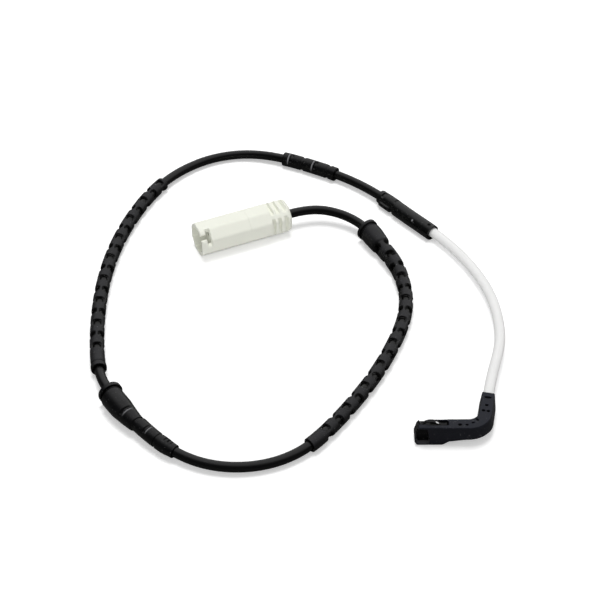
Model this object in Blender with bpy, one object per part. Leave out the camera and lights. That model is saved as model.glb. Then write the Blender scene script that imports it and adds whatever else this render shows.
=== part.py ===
"""Brake pad wear sensor.

A two-pin connector, a two-core cable with rubber grommets and protective sleeves on it,
a splice, a lead in a clear sleeve, and the sensor head that clips into the brake pad.
Lengths are in millimetres and become metres where the meshes and curves are made.
Z = 0 is the surface that everything lies on.
"""
import math

import bmesh
import bpy
import numpy as np

MM = 0.001
CLEARANCE = 0.3

# The cable's route: from inside the connector, round the loop, into the splice.
CABLE_ROUTE = [
    (-72.2, 112.5, 6.9), (-61.7, 117.1, 6.9), (-55.5, 119.1, 6.9), (-48.9, 119.9, 6.6),
    (-42.1, 118.5, 6.2), (-35.7, 115.3, 5.6), (-29.5, 109.2, 5.1), (-23.6, 98.4, 4.6),
    (-18.6, 88.7, 3.9), (-15.5, 77.7, 3.3), (-14.7, 66.4, 3.0), (-16.5, 54.0, 3.0),
    (-21.3, 40.0, 3.0), (-28.3, 24.8, 3.0), (-37.1, 9.9, 3.0), (-46.6, -3.6, 3.0),
    (-57.0, -14.5, 2.8), (-67.7, -20.2, 2.6), (-79.1, -22.4, 2.7), (-90.6, -21.3, 2.9),
    (-101.9, -16.5, 3.3), (-112.0, -8.6, 4.1), (-120.4, 0.5, 4.6), (-128.1, 10.9, 4.8),
    (-133.5, 21.2, 4.1), (-136.3, 32.8, 3.3), (-138.2, 50.4, 3.0), (-138.6, 74.0, 3.0),
    (-135.4, 100.4, 3.0), (-128.6, 123.6, 3.0), (-118.2, 143.8, 3.0), (-108.7, 154.6, 2.7),
    (-96.3, 162.5, 2.5), (-81.9, 165.2, 2.6), (-69.1, 162.6, 3.1), (-55.4, 156.9, 3.2),
    (-42.9, 150.2, 3.2), (-31.5, 142.3, 3.2),
]
# The sleeved lead goes on from the splice to the head; its last two points lie in the head.
LEAD_ROUTE = [
    (-20.4, 131.3, 3.5), (-9.8, 119.0, 3.5), (-1.4, 109.3, 3.5), (7.7, 96.7, 3.6),
    (14.4, 83.6, 3.9), (19.2, 69.1, 4.3), (21.1, 53.9, 4.7), (20.1, 38.1, 5.0),
    (16.7, 25.3, 5.3), (12.8, 9.2, 5.5), (11.8, 4.3, 5.5),
]
ROUTE_STEP = 0.5

# Cable, wires and lead
JACKET_DIAMETER = 3.8
JACKET_IN_PLUG = 9.7
CORD_STEP = 7.5
WIRE_DIAMETER = 0.9
WIRE_SPACING = 1.3
LEAD_SLEEVE_DIAMETER = 4.2
LEAD_SLEEVE_WALL = 0.5
LEAD_IN_HEAD = 5.0
TUBE_SIDES = 12
SMALL_SIDES = 8
RING_STEP = 7.5
WINDOW_SIDES = 6

# Connector: a rounded eight-sided section, measured along its axis from the mating end
PLUG_LENGTH = 41.2
PLUG_WIDTH = 13.7
PLUG_CORNER = 3.8
PLUG_EDGE_RADIUS = 0.9
PLUG_WALL = 1.6
PLUG_END_ROUND = 0.5
PLUG_SEAM = 22.0
PLUG_BACK_ROUND = 2.2
PLUG_POCKET_FLOOR = 30.0
KEY_SLOT_WIDTH = 2.2
KEY_SLOT_LENGTH = 2.4
KEY_WINDOW_LENGTH = 2.0
KEY_WINDOW_WIDTH = 6.6
KEY_OFFSET = -0.5
GRIP_STATIONS = (32.7, 35.4, 38.3)
GRIP_WIDTH = 1.3
GRIP_DEPTH = 1.4
GRIP_SPAN = 9.0
CARRIER_FRONT = 5.7
CARRIER_BACK = 25.5
PIN_FRONT = 6.3
PIN_DIAMETER = 1.5
PIN_SHOULDER = 14.5
BARREL_DIAMETER = 2.2
BARREL_BORE = 1.5
BARREL_DEPTH = 4.5
BARREL_BACK = 24.0
PIN_SPACING = 3.6

# Places on the cable, measured along it from the back of the connector
GROMMET_SLEEVE_START = 37.9
SHORT_GROMMET_FLANGE = 265.9
LONG_SLEEVE_START = 279.9
SHORT_SLEEVE_START = 463.1
SPLICE_START = 514.6

# Outer profiles (distance from the piece's own first end, diameter)
GROMMET_SLEEVE_PROFILE = (
    (0.0, 8.8), (0.4, 9.7), (1.3, 9.7), (1.7, 8.8), (1.7, 8.0), (2.5, 8.0), (2.5, 9.3), (6.0, 9.1),
    (9.0, 8.7), (12.0, 8.2), (12.6, 7.2), (18.0, 7.1), (24.0, 6.8), (32.0, 6.2), (41.0, 5.8),
    (135.5, 5.8))
SHORT_GROMMET_PROFILE = (
    (0.0, 8.5), (0.4, 9.4), (1.4, 9.4), (1.8, 8.5), (1.8, 7.6), (2.6, 7.6), (2.6, 9.1), (10.0, 8.9),
    (20.0, 6.4), (20.0, 5.6), (21.0, 5.6), (21.0, 6.2), (31.0, 6.0), (31.0, 5.3), (32.0, 5.3),
    (32.0, 6.0), (35.0, 6.0), (38.0, 5.4), (39.6, 5.2))
LONG_SLEEVE_PROFILE = (
    (0.0, 5.8), (0.3, 6.2), (2.0, 6.2), (2.0, 5.3), (2.8, 5.3), (2.8, 5.8), (120.8, 5.8))
SHORT_SLEEVE_PROFILE = (
    (0.0, 5.8), (0.3, 6.2), (2.2, 6.2), (2.5, 5.6), (3.1, 5.6), (3.4, 6.2), (8.8, 6.2), (9.1, 5.5),
    (10.1, 5.5), (10.4, 6.2), (21.6, 6.2), (21.9, 5.5), (22.9, 5.5), (23.2, 6.2), (25.8, 6.2),
    (26.1, 5.8))

# Windows in the long sleeves: three round each station, turned half a pitch at every other one
WINDOW_ALONG = 2.8
WINDOW_ACROSS = 3.5
WINDOW_PITCH = 6.63
WINDOW_CUTTER_REACH = 5.0
WINDOWS_PER_STATION = 3
GROMMET_SLEEVE_FIRST_WINDOW = 14.0
GROMMET_SLEEVE_WINDOW_STATIONS = 18
GROMMET_SLEEVE_WINDOW_ANGLE = 42.0
LONG_SLEEVE_FIRST_WINDOW = 11.7
LONG_SLEEVE_WINDOW_STATIONS = 17
LONG_SLEEVE_WINDOW_ANGLE = 92.0

# Slots across the upper side of the short pieces: distances from the piece's first end, and
# how wide a slot is as a share of the piece's diameter there
SHORT_GROMMET_SLOTS = (14.4, 26.1)
SHORT_SLEEVE_SLOTS = (15.0,)
SPLICE_SLOTS = (3.0, 7.0)
SLOT_ALONG = 1.2
SLOT_DEPTH = 0.5
SLOT_SHARE = 0.6

# Splice housing and what it holds
SPLICE_LENGTH = 32.7
SPLICE_DIAMETER = 6.8
SPLICE_NECK_DIAMETER = 6.2
SPLICE_NECK_LENGTH = 10.4
SPLICE_JACKET_END = 12.2
SPLICE_CHAMBER = (12.8, 24.4)
SPLICE_CHAMBER_DIAMETER = 5.5
SPLICE_MOUTH_FLARE = 0.8
CRIMP_DIAMETER = 2.0
CRIMP_BORE = 1.5
CRIMP_LENGTH = 5.0
CRIMP_START = 16.0
CRIMP_SPACING = 2.6

# Sensor head: an L along its own centre line, from the lead's entry to the tip
HEAD_TOP = 8.7
HEAD_ARM_BOTTOM = 2.2
HEAD_TOP_WIDTH = 4.7
HEAD_BOTTOM_WIDTH = 5.9
HEAD_EDGE = 0.3
HEAD_BEND_ANGLE = 78.4
HEAD_BEND_RADIUS = 6.8
HEAD_ENTRY_ARM = 16.2
HEAD_TIP_ARM = 23.92
SOCKET_CLEARANCE = 0.2
CHANNEL_DIAMETER = 3.1
# Back from the top of the head's tip, and aside from its centre line towards the outer side
FOOT_BACK = 11.8
FOOT_STEP = 0.12
FOOT_TOP = 3.2
FOOT_SLOPE_HEIGHTS = (0.6, 1.9)
FOOT_SLOPE_BACKS = (3.0, 2.0, 0.4)
FOOT_UNDERSIDE_MARGIN = 0.4
TIP_FRONTS = (0.2, -0.5, -0.3, 0.1)
TIP_OVERHANG = 1.3
TIP_SHOULDER_HEIGHT = 8.0
TIP_SHOULDER_BACK = 6.0
TIP_TOP_BACK = 5.6
TIP_TOP_MARGIN = 0.2
CHANNEL_END = 2.0
POCKET_FAR_SIDE = 0.65
POCKET_BOTTOM = 1.6
POCKET_TOP = 7.9
CLIP_SLOT = (4.0, 10.9)
CLIP_SLOT_SIDES = (-1.65, 0.75)
CLIP_SLOT_FLOOR = 7.45
TIP_STEP_SIDE = 0.35
CLIP_THICKNESS = 0.35
LOOP_DIAMETER = 0.8
LOOP_FRONT = 2.75
LOOP_BACK = 6.2


def clear_scene():
    """Remove whatever the file holds."""
    for item in list(bpy.data.objects):
        bpy.data.objects.remove(item, do_unlink=True)


def finish(name, colour, roughness, metallic=0.0):
    """One plain surface finish."""
    material = bpy.data.materials.new(name)
    material.use_nodes = True
    shader = material.node_tree.nodes["Principled BSDF"]
    shader.inputs["Base Color"].default_value = (*colour, 1.0)
    shader.inputs["Roughness"].default_value = roughness
    shader.inputs["Metallic"].default_value = metallic
    return material


def unit(vector):
    """The vector at length one."""
    return vector / np.linalg.norm(vector, axis=-1, keepdims=True)


def natural_spline(points, step):
    """Points about one step apart on the natural cubic spline through the given points."""
    knots = np.array(points)
    spans = np.linalg.norm(np.diff(knots, axis=0), axis=1)
    places = np.concatenate(([0.0], np.cumsum(spans)))
    count = len(knots)
    matrix = np.eye(count)
    rates = np.zeros((count, 3))
    slopes = np.diff(knots, axis=0) / spans[:, None]
    for i in range(1, count - 1):
        matrix[i, i - 1:i + 2] = spans[i - 1], 2 * (spans[i - 1] + spans[i]), spans[i]
        rates[i] = 6 * (slopes[i] - slopes[i - 1])
    bends = np.linalg.solve(matrix, rates)
    at = np.linspace(0, places[-1], int(places[-1] / step) + 1)
    k = np.clip(np.searchsorted(places, at) - 1, 0, count - 2)
    span = spans[k][:, None]
    before = (places[k + 1] - at)[:, None] / span
    after = (at - places[k])[:, None] / span
    curve = before * knots[k] + after * knots[k + 1]
    curve += ((before ** 3 - before) * bends[k] + (after ** 3 - after) * bends[k + 1]) * span ** 2 / 6
    return curve


route_points = natural_spline(CABLE_ROUTE + LEAD_ROUTE, ROUTE_STEP)
route_lengths = np.concatenate(
    ([0.0], np.cumsum(np.linalg.norm(np.diff(route_points, axis=0), axis=1))))


def route_frame(station):
    """Centre, forward, side and up on the route, a distance along it from the connector's back."""
    along = np.asarray(station, dtype=float) + JACKET_IN_PLUG
    reach = ROUTE_STEP
    low = np.clip(along - reach, 0, route_lengths[-1])
    high = np.clip(along + reach, 0, route_lengths[-1])
    centre, before, after = (
        np.stack([np.interp(at, route_lengths, route_points[:, axis]) for axis in range(3)], axis=-1)
        for at in (along, low, high))
    forward = unit(after - before)
    side = unit(np.cross((0.0, 0.0, 1.0), forward))
    return centre, forward, side, np.cross(forward, side)


def circle_ring(centre, side, up, radius, sides, turn=0.0):
    """Points round a circle in the plane of side and up."""
    angles = turn + np.arange(sides) * 2 * math.pi / sides
    return centre + radius * (np.cos(angles)[:, None] * side + np.sin(angles)[:, None] * up)


def refined(profile, step):
    """The (distance, size) profile with points added so that none lie further apart than step."""
    points = [profile[0]]
    for (start, size), (end, next_size) in zip(profile, profile[1:]):
        count = max(1, math.ceil((end - start) / step))
        for k in range(1, count + 1):
            points.append((start + (end - start) * k / count, size + (next_size - size) * k / count))
    return points


def tube_rings(start, outer, inner, direction=1):
    """A closed wall round the route: out along the outer profile, back along the inner one."""
    profile = refined(outer, RING_STEP) + refined(inner, RING_STEP)[::-1]
    rings = []
    for distance, diameter in profile:
        centre, _, side, up = route_frame(start + direction * distance)
        rings.append(circle_ring(centre, side, up, diameter / 2, TUBE_SIDES))
    return rings


def round_bore(diameter, sides=TUBE_SIDES, gap=CLEARANCE):
    """Corner diameter of a many-sided bore that clears a round piece by the gap."""
    return (diameter + 2 * gap) / math.cos(math.pi / sides)


def make_object(name, stacks, material=None):
    """One object from (rings, looped) stacks; a stack that isn't looped gets flat ends."""
    shape = bmesh.new()
    for rings, looped in stacks:
        rows = [[shape.verts.new(point * MM) for point in ring] for ring in rings]
        pairs = list(zip(rows, rows[1:]))
        if looped:
            pairs.append((rows[-1], rows[0]))
        else:
            shape.faces.new(rows[0])
            shape.faces.new(rows[-1])
        for row, following in pairs:
            for i in range(len(row)):
                j = (i + 1) % len(row)
                shape.faces.new((row[i], row[j], following[j], following[i]))
    bmesh.ops.recalc_face_normals(shape, faces=shape.faces)
    mesh = bpy.data.meshes.new(name)
    shape.to_mesh(mesh)
    shape.free()
    mesh.shade_smooth()
    mesh.set_sharp_from_angle(angle=math.radians(32))
    item = bpy.data.objects.new(name, mesh)
    bpy.context.scene.collection.objects.link(item)
    if material:
        mesh.materials.append(material)
    return item


def combine(target, name, stacks, operation):
    """Cut the stacks from the target, or join them to it, through a hidden guide object."""
    guide = make_object(name, stacks)
    guide.hide_render = True
    guide.display_type = "WIRE"
    modifier = target.modifiers.new(name, "BOOLEAN")
    modifier.operation = operation
    modifier.object = guide
    modifier.solver = "EXACT"


def prism(outline, origin, across, along, depth, near, far):
    """A stack with a flat outline in the plane of across and along, drawn out along depth."""
    flat = np.array([origin + u * across + v * along for u, v in outline])
    return [flat + near * depth, flat + far * depth], False


def rectangle(low_u, high_u, low_v, high_v):
    """Corners of an upright rectangle."""
    return (low_u, low_v), (high_u, low_v), (high_u, high_v), (low_u, high_v)


def ellipse(width, height, sides):
    """Points round an ellipse."""
    angles = (np.arange(sides) + 0.5) * 2 * math.pi / sides
    reach = 1 / math.cos(math.pi / sides)
    return [(width / 2 * reach * math.cos(a), height / 2 * reach * math.sin(a)) for a in angles]


def make_cord(name, points, diameter, material):
    """A round cord through the points, with filled ends."""
    curve = bpy.data.curves.new(name, "CURVE")
    curve.dimensions = "3D"
    curve.bevel_depth = diameter / 2 * MM
    curve.bevel_resolution = 2
    curve.use_fill_caps = True
    spline = curve.splines.new("POLY")
    spline.points.add(len(points) - 1)
    for knot, point in zip(spline.points, points):
        knot.co = (*(point * MM), 1.0)
    curve.materials.append(material)
    item = bpy.data.objects.new(name, curve)
    bpy.context.scene.collection.objects.link(item)


def wire_points(stations, offsets):
    """Points beside the route: each station's centre moved sideways by its offset."""
    centre, _, side, _ = route_frame(stations)
    return centre + np.asarray(offsets)[:, None] * side


clear_scene()
rubber = finish("black rubber", (0.022, 0.022, 0.024), 0.5)
jacket_black = finish("cable jacket", (0.012, 0.012, 0.013), 0.35)
cream = finish("cream plastic", (0.82, 0.83, 0.74), 0.45)
milky = finish("milky sleeve", (0.80, 0.81, 0.78), 0.35)
grey_wire = finish("grey wire", (0.45, 0.46, 0.44), 0.4)
head_black = finish("black head plastic", (0.028, 0.030, 0.032), 0.5)
tinned = finish("tinned brass", (0.75, 0.72, 0.66), 0.3, 1.0)
steel = finish("spring steel", (0.60, 0.60, 0.60), 0.3, 1.0)

jacket_bore = round_bore(JACKET_DIAMETER)

# Connector, on the line of the route's first stretch
plug_up = np.array((0.0, 0.0, 1.0))
jacket_front_point = route_frame(-JACKET_IN_PLUG)[0]
plug_back = route_frame(0.0)[0]
plug_rearward = unit(plug_back - jacket_front_point)
plug_side = np.cross(plug_up, plug_rearward)
plug_front = plug_back - PLUG_LENGTH * plug_rearward


def plug_section(distance, inset):
    """Eight-sided ring of the connector at a distance from its mating end, drawn in by an inset."""
    half = PLUG_WIDTH / 2 - inset
    flat = PLUG_WIDTH / 2 - PLUG_CORNER - inset * math.tan(math.pi / 8)
    cut = PLUG_EDGE_RADIUS * math.tan(math.pi / 8)
    corners = [(half, flat), (flat, half)]
    outline = []
    for quarter in range(4):
        turn = np.array([[math.cos(quarter * math.pi / 2), -math.sin(quarter * math.pi / 2)],
                         [math.sin(quarter * math.pi / 2), math.cos(quarter * math.pi / 2)]])
        outline += [turn @ corner for corner in corners]
    points = []
    for i, corner in enumerate(outline):
        before = unit(outline[i - 1] - corner)
        after = unit(outline[(i + 1) % 8] - corner)
        middle = unit(before + after)
        points += [corner + cut * before, corner + cut * 0.42 * middle, corner + cut * after]
    centre = plug_front + distance * plug_rearward
    return np.array([centre + u * plug_side + v * plug_up for u, v in points])


def plug_circle(distance, diameter, offset, sides=SMALL_SIDES):
    """Ring across the connector, its centre moved sideways by the offset."""
    centre = plug_front + distance * plug_rearward + offset * plug_side
    return circle_ring(centre, plug_side, plug_up, diameter / 2, sides, math.pi / sides)


shell = make_object("connector_shell", [([
    plug_section(0.0, PLUG_END_ROUND), plug_section(PLUG_END_ROUND, 0.0), plug_section(PLUG_SEAM, 0.0),
    plug_section(PLUG_SEAM, PLUG_WALL), plug_section(0.0, PLUG_WALL)], True)], cream)
key_depth = unit(plug_up - plug_side)
key_across = unit(plug_up + plug_side)
key_origin = plug_front + KEY_OFFSET * key_across
key_slot = prism(rectangle(-KEY_SLOT_WIDTH / 2, KEY_SLOT_WIDTH / 2, -1.0, KEY_SLOT_LENGTH + 0.5),
                 key_origin, key_across, plug_rearward, key_depth, 1.5, PLUG_WIDTH)
key_window = prism(rectangle(-KEY_WINDOW_WIDTH / 2, KEY_WINDOW_WIDTH / 2, KEY_SLOT_LENGTH,
                             KEY_SLOT_LENGTH + KEY_WINDOW_LENGTH),
                   key_origin, key_across, plug_rearward, key_depth, 2.5, PLUG_WIDTH)
combine(shell, "key_slot", [key_slot], "DIFFERENCE")
combine(shell, "key_window", [key_window], "DIFFERENCE")

strain_relief = make_object("connector_strain_relief", [([
    plug_section(PLUG_SEAM + CLEARANCE, 0.0), plug_section(PLUG_LENGTH - PLUG_BACK_ROUND, 0.0),
    plug_section(PLUG_LENGTH - PLUG_BACK_ROUND / 2, 0.5), plug_section(PLUG_LENGTH, 1.5)], False)], cream)
combine(strain_relief, "carrier_pocket", [([
    plug_section(PLUG_SEAM - 1.0, PLUG_WALL), plug_section(PLUG_POCKET_FLOOR, PLUG_WALL)], False)],
    "DIFFERENCE")
combine(strain_relief, "jacket_bore", [([
    plug_circle(PLUG_POCKET_FLOOR - 1.0, jacket_bore, 0.0, TUBE_SIDES),
    plug_circle(PLUG_LENGTH + 1.0, jacket_bore, 0.0, TUBE_SIDES)], False)], "DIFFERENCE")
grip_cutters = []
for station in GRIP_STATIONS:
    for outward, across in ((plug_up, plug_side), (plug_side, plug_up)):
        for sign in (1, -1):
            outline = rectangle(-GRIP_SPAN / 2, GRIP_SPAN / 2, station - GRIP_WIDTH / 2,
                                station + GRIP_WIDTH / 2)
            grip_cutters.append(prism(outline, plug_front, across, plug_rearward, sign * outward,
                                      PLUG_WIDTH / 2 - GRIP_DEPTH, PLUG_WIDTH / 2 + 1.0))
combine(strain_relief, "grip_grooves", grip_cutters, "DIFFERENCE")

carrier = make_object("contact_carrier", [([
    plug_section(CARRIER_FRONT, PLUG_WALL + CLEARANCE),
    plug_section(CARRIER_BACK, PLUG_WALL + CLEARANCE)], False)], cream)
pin_bores = []
for sign in (1, -1):
    offset = sign * PIN_SPACING / 2
    step = PIN_SHOULDER - CLEARANCE
    narrow = round_bore(PIN_DIAMETER, SMALL_SIDES)
    wide = round_bore(BARREL_DIAMETER, SMALL_SIDES)
    pin_bores.append(([
        plug_circle(CARRIER_FRONT - 1.0, narrow, offset), plug_circle(step, narrow, offset),
        plug_circle(step, wide, offset), plug_circle(CARRIER_BACK + 1.0, wide, offset)], False))
combine(carrier, "pin_bores", pin_bores, "DIFFERENCE")

for number, sign in ((1, 1), (2, -1)):
    offset = sign * PIN_SPACING / 2
    bore_floor = BARREL_BACK - BARREL_DEPTH
    make_object(f"terminal_{number}", [([
        plug_circle(PIN_FRONT, PIN_DIAMETER * 0.55, offset),
        plug_circle(PIN_FRONT + 0.8, PIN_DIAMETER, offset),
        plug_circle(PIN_SHOULDER, PIN_DIAMETER, offset),
        plug_circle(PIN_SHOULDER, BARREL_DIAMETER, offset),
        plug_circle(BARREL_BACK, BARREL_DIAMETER, offset),
        plug_circle(BARREL_BACK, BARREL_BORE, offset),
        plug_circle(bore_floor, BARREL_BORE, offset)], False)], tinned)
    jacket_front = PLUG_LENGTH - JACKET_IN_PLUG
    places = np.array([bore_floor + 0.4, BARREL_BACK, CARRIER_BACK, (CARRIER_BACK + jacket_front) / 2,
                       jacket_front - 1.2, jacket_front - CLEARANCE])
    half, end = PIN_SPACING / 2, WIRE_SPACING / 2
    offsets = sign * np.array([half, half, half - 0.05, (half + end) / 2, end + 0.05, end])
    make_cord(f"plug_core_{number}", plug_front + places[:, None] * plug_rearward
              + offsets[:, None] * plug_side, WIRE_DIAMETER, grey_wire)

# Cable jacket
jacket_end = SPLICE_START + SPLICE_JACKET_END
jacket_stations = np.linspace(-JACKET_IN_PLUG, jacket_end, round((jacket_end + JACKET_IN_PLUG) / CORD_STEP))
make_cord("cable_jacket", route_frame(jacket_stations)[0], JACKET_DIAMETER, jacket_black)


def window_cutters(first_station, count, angle):
    """Cutters for a sleeve's windows, from its first station on, the first at the angle."""
    floor = math.sqrt((jacket_bore / 2) ** 2 - (WINDOW_ACROSS / 2) ** 2) - 0.05
    cutters = []
    for k in range(count):
        centre, forward, side, up = route_frame(first_station + k * WINDOW_PITCH)
        for turn in range(WINDOWS_PER_STATION):
            bearing = math.radians(angle + (k % 2) * 180 / WINDOWS_PER_STATION
                                   + turn * 360 / WINDOWS_PER_STATION)
            outward = math.cos(bearing) * side + math.sin(bearing) * up
            across = np.cross(forward, outward)
            cutters.append(prism(ellipse(WINDOW_ACROSS, WINDOW_ALONG, WINDOW_SIDES), centre, across,
                                 forward, outward, floor, WINDOW_CUTTER_REACH))
    return cutters


def top_slots(start, profile, distances, direction=1):
    """Cutters for slots across the upper side of a piece with an outer profile."""
    cutters = []
    for distance in distances:
        centre, forward, side, up = route_frame(start + direction * distance)
        surface = np.interp(distance, *zip(*profile)) / 2
        half_across = surface * SLOT_SHARE
        outline = rectangle(-half_across, half_across, -SLOT_ALONG / 2, SLOT_ALONG / 2)
        cutters.append(prism(outline, centre, side, forward, up, surface - SLOT_DEPTH, surface + 1.0))
    return cutters


def sleeve(name, start, profile, direction=1):
    """A rubber piece on the jacket, with its outer profile."""
    bore = ((profile[0][0], jacket_bore), (profile[-1][0], jacket_bore))
    return make_object(name, [(tube_rings(start, profile, bore, direction), True)], rubber)


grommet_sleeve = sleeve("grommet_sleeve", GROMMET_SLEEVE_START, GROMMET_SLEEVE_PROFILE)
combine(grommet_sleeve, "grommet_sleeve_windows",
        window_cutters(GROMMET_SLEEVE_START + GROMMET_SLEEVE_FIRST_WINDOW,
                       GROMMET_SLEEVE_WINDOW_STATIONS, GROMMET_SLEEVE_WINDOW_ANGLE), "DIFFERENCE")
short_grommet = sleeve("short_grommet", SHORT_GROMMET_FLANGE, SHORT_GROMMET_PROFILE, -1)
combine(short_grommet, "short_grommet_slots",
        top_slots(SHORT_GROMMET_FLANGE, SHORT_GROMMET_PROFILE, SHORT_GROMMET_SLOTS, -1), "DIFFERENCE")
long_sleeve = sleeve("long_sleeve", LONG_SLEEVE_START, LONG_SLEEVE_PROFILE)
combine(long_sleeve, "long_sleeve_windows",
        window_cutters(LONG_SLEEVE_START + LONG_SLEEVE_FIRST_WINDOW, LONG_SLEEVE_WINDOW_STATIONS,
                       LONG_SLEEVE_WINDOW_ANGLE), "DIFFERENCE")
short_sleeve = sleeve("short_sleeve", SHORT_SLEEVE_START, SHORT_SLEEVE_PROFILE)
combine(short_sleeve, "short_sleeve_slots",
        top_slots(SHORT_SLEEVE_START, SHORT_SLEEVE_PROFILE, SHORT_SLEEVE_SLOTS), "DIFFERENCE")

# Splice
lead_bore = round_bore(LEAD_SLEEVE_DIAMETER)
chamber_start, chamber_end = SPLICE_CHAMBER
splice_outer = (
    (0.0, SPLICE_NECK_DIAMETER - 0.6), (0.4, SPLICE_NECK_DIAMETER), (SPLICE_NECK_LENGTH, SPLICE_NECK_DIAMETER),
    (SPLICE_NECK_LENGTH + 0.4, SPLICE_DIAMETER), (SPLICE_LENGTH - 0.4, SPLICE_DIAMETER),
    (SPLICE_LENGTH, SPLICE_DIAMETER - 0.6))
splice_inner = (
    (0.0, jacket_bore), (chamber_start, jacket_bore), (chamber_start, SPLICE_CHAMBER_DIAMETER),
    (chamber_end, SPLICE_CHAMBER_DIAMETER), (chamber_end, lead_bore),
    (SPLICE_LENGTH - SPLICE_MOUTH_FLARE, lead_bore), (SPLICE_LENGTH, lead_bore + SPLICE_MOUTH_FLARE))
splice = make_object("splice_housing", [(tube_rings(SPLICE_START, splice_outer, splice_inner), True)], rubber)
combine(splice, "splice_slots", top_slots(SPLICE_START, splice_outer, SPLICE_SLOTS), "DIFFERENCE")

lead_start = SPLICE_START + chamber_end + 0.4
crimp_start = SPLICE_START + CRIMP_START
crimp_end = crimp_start + CRIMP_LENGTH
crimp_middle = (crimp_start + crimp_end) / 2
crimp_half, wire_half = CRIMP_SPACING / 2, WIRE_SPACING / 2
lead_end = route_lengths[-1] - JACKET_IN_PLUG
for number, sign in ((1, 1), (2, -1)):
    rings = []
    for station, diameter in ((crimp_start, CRIMP_DIAMETER), (crimp_end, CRIMP_DIAMETER),
                              (crimp_end, CRIMP_BORE), (crimp_start, CRIMP_BORE)):
        centre, _, side, up = route_frame(station)
        middle = centre + sign * crimp_half * side
        rings.append(circle_ring(middle, side, up, diameter / 2, SMALL_SIDES))
    make_object(f"splice_crimp_{number}", [(rings, True)], tinned)
    stations = np.array([jacket_end + CLEARANCE, jacket_end + 1.0, crimp_start - 0.7, crimp_start,
                         crimp_middle - CLEARANCE / 2])
    offsets = sign * np.array([wire_half, wire_half + 0.1, crimp_half - 0.05, crimp_half, crimp_half])
    make_cord(f"splice_core_{number}", wire_points(stations, offsets), WIRE_DIAMETER, grey_wire)

# Lead sleeve
lead_profile = ((0.0, LEAD_SLEEVE_DIAMETER), (lead_end - lead_start, LEAD_SLEEVE_DIAMETER))
lead_inner_diameter = LEAD_SLEEVE_DIAMETER - 2 * LEAD_SLEEVE_WALL
lead_inner = ((0.0, lead_inner_diameter), (lead_end - lead_start, lead_inner_diameter))
make_object("white_sleeve", [(tube_rings(lead_start, lead_profile, lead_inner), True)], milky)

# Sensor head, carried on the line of the route's last stretch
head_entry = np.array(LEAD_ROUTE[-2])
entry_forward = unit(np.array(LEAD_ROUTE[-1]) - head_entry)
entry_side = unit(np.cross((0.0, 0.0, 1.0), entry_forward))
head_up = np.array((0.0, 0.0, 1.0))
bend = math.radians(HEAD_BEND_ANGLE)
tip_forward = math.cos(bend) * entry_forward - math.sin(bend) * entry_side
tip_side = np.cross(head_up, tip_forward)
bend_reach = HEAD_BEND_RADIUS * math.tan(bend / 2)
bend_centre = head_entry + (HEAD_ENTRY_ARM - bend_reach) * entry_forward - HEAD_BEND_RADIUS * entry_side
tip_top = bend_centre + HEAD_BEND_RADIUS * tip_side + (HEAD_TIP_ARM - bend_reach) * tip_forward


def head_line(offset, entry=0.0, tip=0.0, steps=9):
    """Points beside the head's centre line, from the entry to the tip, drawn in by entry and tip."""
    arc = bend_centre + (HEAD_BEND_RADIUS + offset) * np.array([
        math.cos(a) * entry_side + math.sin(a) * entry_forward for a in np.linspace(0, bend, steps)])
    first = head_entry + entry * entry_forward + offset * entry_side
    last = tip_top - tip * tip_forward + offset * tip_side
    return np.vstack((first, arc, last))


def at_height(points, height):
    """The same points, all at one height."""
    level = np.array(points)
    level[:, 2] = height
    return level


def head_ring(half_width, height, tip=0.0):
    """Outline of the whole L at one height."""
    return at_height(np.vstack((head_line(half_width, tip=tip), head_line(-half_width, tip=tip)[::-1])), height)


def arm_width(height):
    """Half width of the drafted arm at a height."""
    share = (height - HEAD_ARM_BOTTOM) / (HEAD_TOP - HEAD_ARM_BOTTOM)
    return (HEAD_BOTTOM_WIDTH + share * (HEAD_TOP_WIDTH - HEAD_BOTTOM_WIDTH)) / 2


def tip_point(back, aside, height):
    """A place given back from the top of the tip, aside from the centre line, and by height."""
    point = tip_top - back * tip_forward + aside * tip_side
    return np.array((point[0], point[1], height))


def tip_ring(back_low, back_high, half_width, height):
    """Rectangle across the tip at one height."""
    return np.array([tip_point(back_low, half_width, height), tip_point(back_high, half_width, height),
                     tip_point(back_high, -half_width, height), tip_point(back_low, -half_width, height)])


head = make_object("sensor_head", [([
    head_ring(arm_width(HEAD_ARM_BOTTOM) - HEAD_EDGE, HEAD_ARM_BOTTOM),
    head_ring(arm_width(HEAD_ARM_BOTTOM + HEAD_EDGE), HEAD_ARM_BOTTOM + HEAD_EDGE),
    head_ring(arm_width(HEAD_TOP - HEAD_EDGE), HEAD_TOP - HEAD_EDGE),
    head_ring(arm_width(HEAD_TOP) - HEAD_EDGE, HEAD_TOP, tip=HEAD_EDGE)], False)], head_black)
combine(head, "tip_block", [([
    tip_ring(TIP_FRONTS[0], FOOT_BACK - FOOT_SLOPE_BACKS[0],
             arm_width(HEAD_ARM_BOTTOM) - FOOT_UNDERSIDE_MARGIN, 0.0),
    tip_ring(TIP_FRONTS[1], FOOT_BACK - FOOT_SLOPE_BACKS[1],
             arm_width(HEAD_ARM_BOTTOM) + FOOT_STEP, FOOT_SLOPE_HEIGHTS[0]),
    tip_ring(-TIP_OVERHANG, FOOT_BACK - FOOT_SLOPE_BACKS[2],
             arm_width(HEAD_ARM_BOTTOM) + FOOT_STEP, FOOT_SLOPE_HEIGHTS[1]),
    tip_ring(-TIP_OVERHANG, FOOT_BACK, arm_width(FOOT_TOP) + FOOT_STEP, FOOT_TOP),
    tip_ring(TIP_FRONTS[2], TIP_SHOULDER_BACK, arm_width(TIP_SHOULDER_HEIGHT) + FOOT_STEP,
             TIP_SHOULDER_HEIGHT),
    tip_ring(TIP_FRONTS[3], TIP_TOP_BACK, arm_width(HEAD_TOP - TIP_TOP_MARGIN),
             HEAD_TOP - TIP_TOP_MARGIN)], False)], "UNION")
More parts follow.
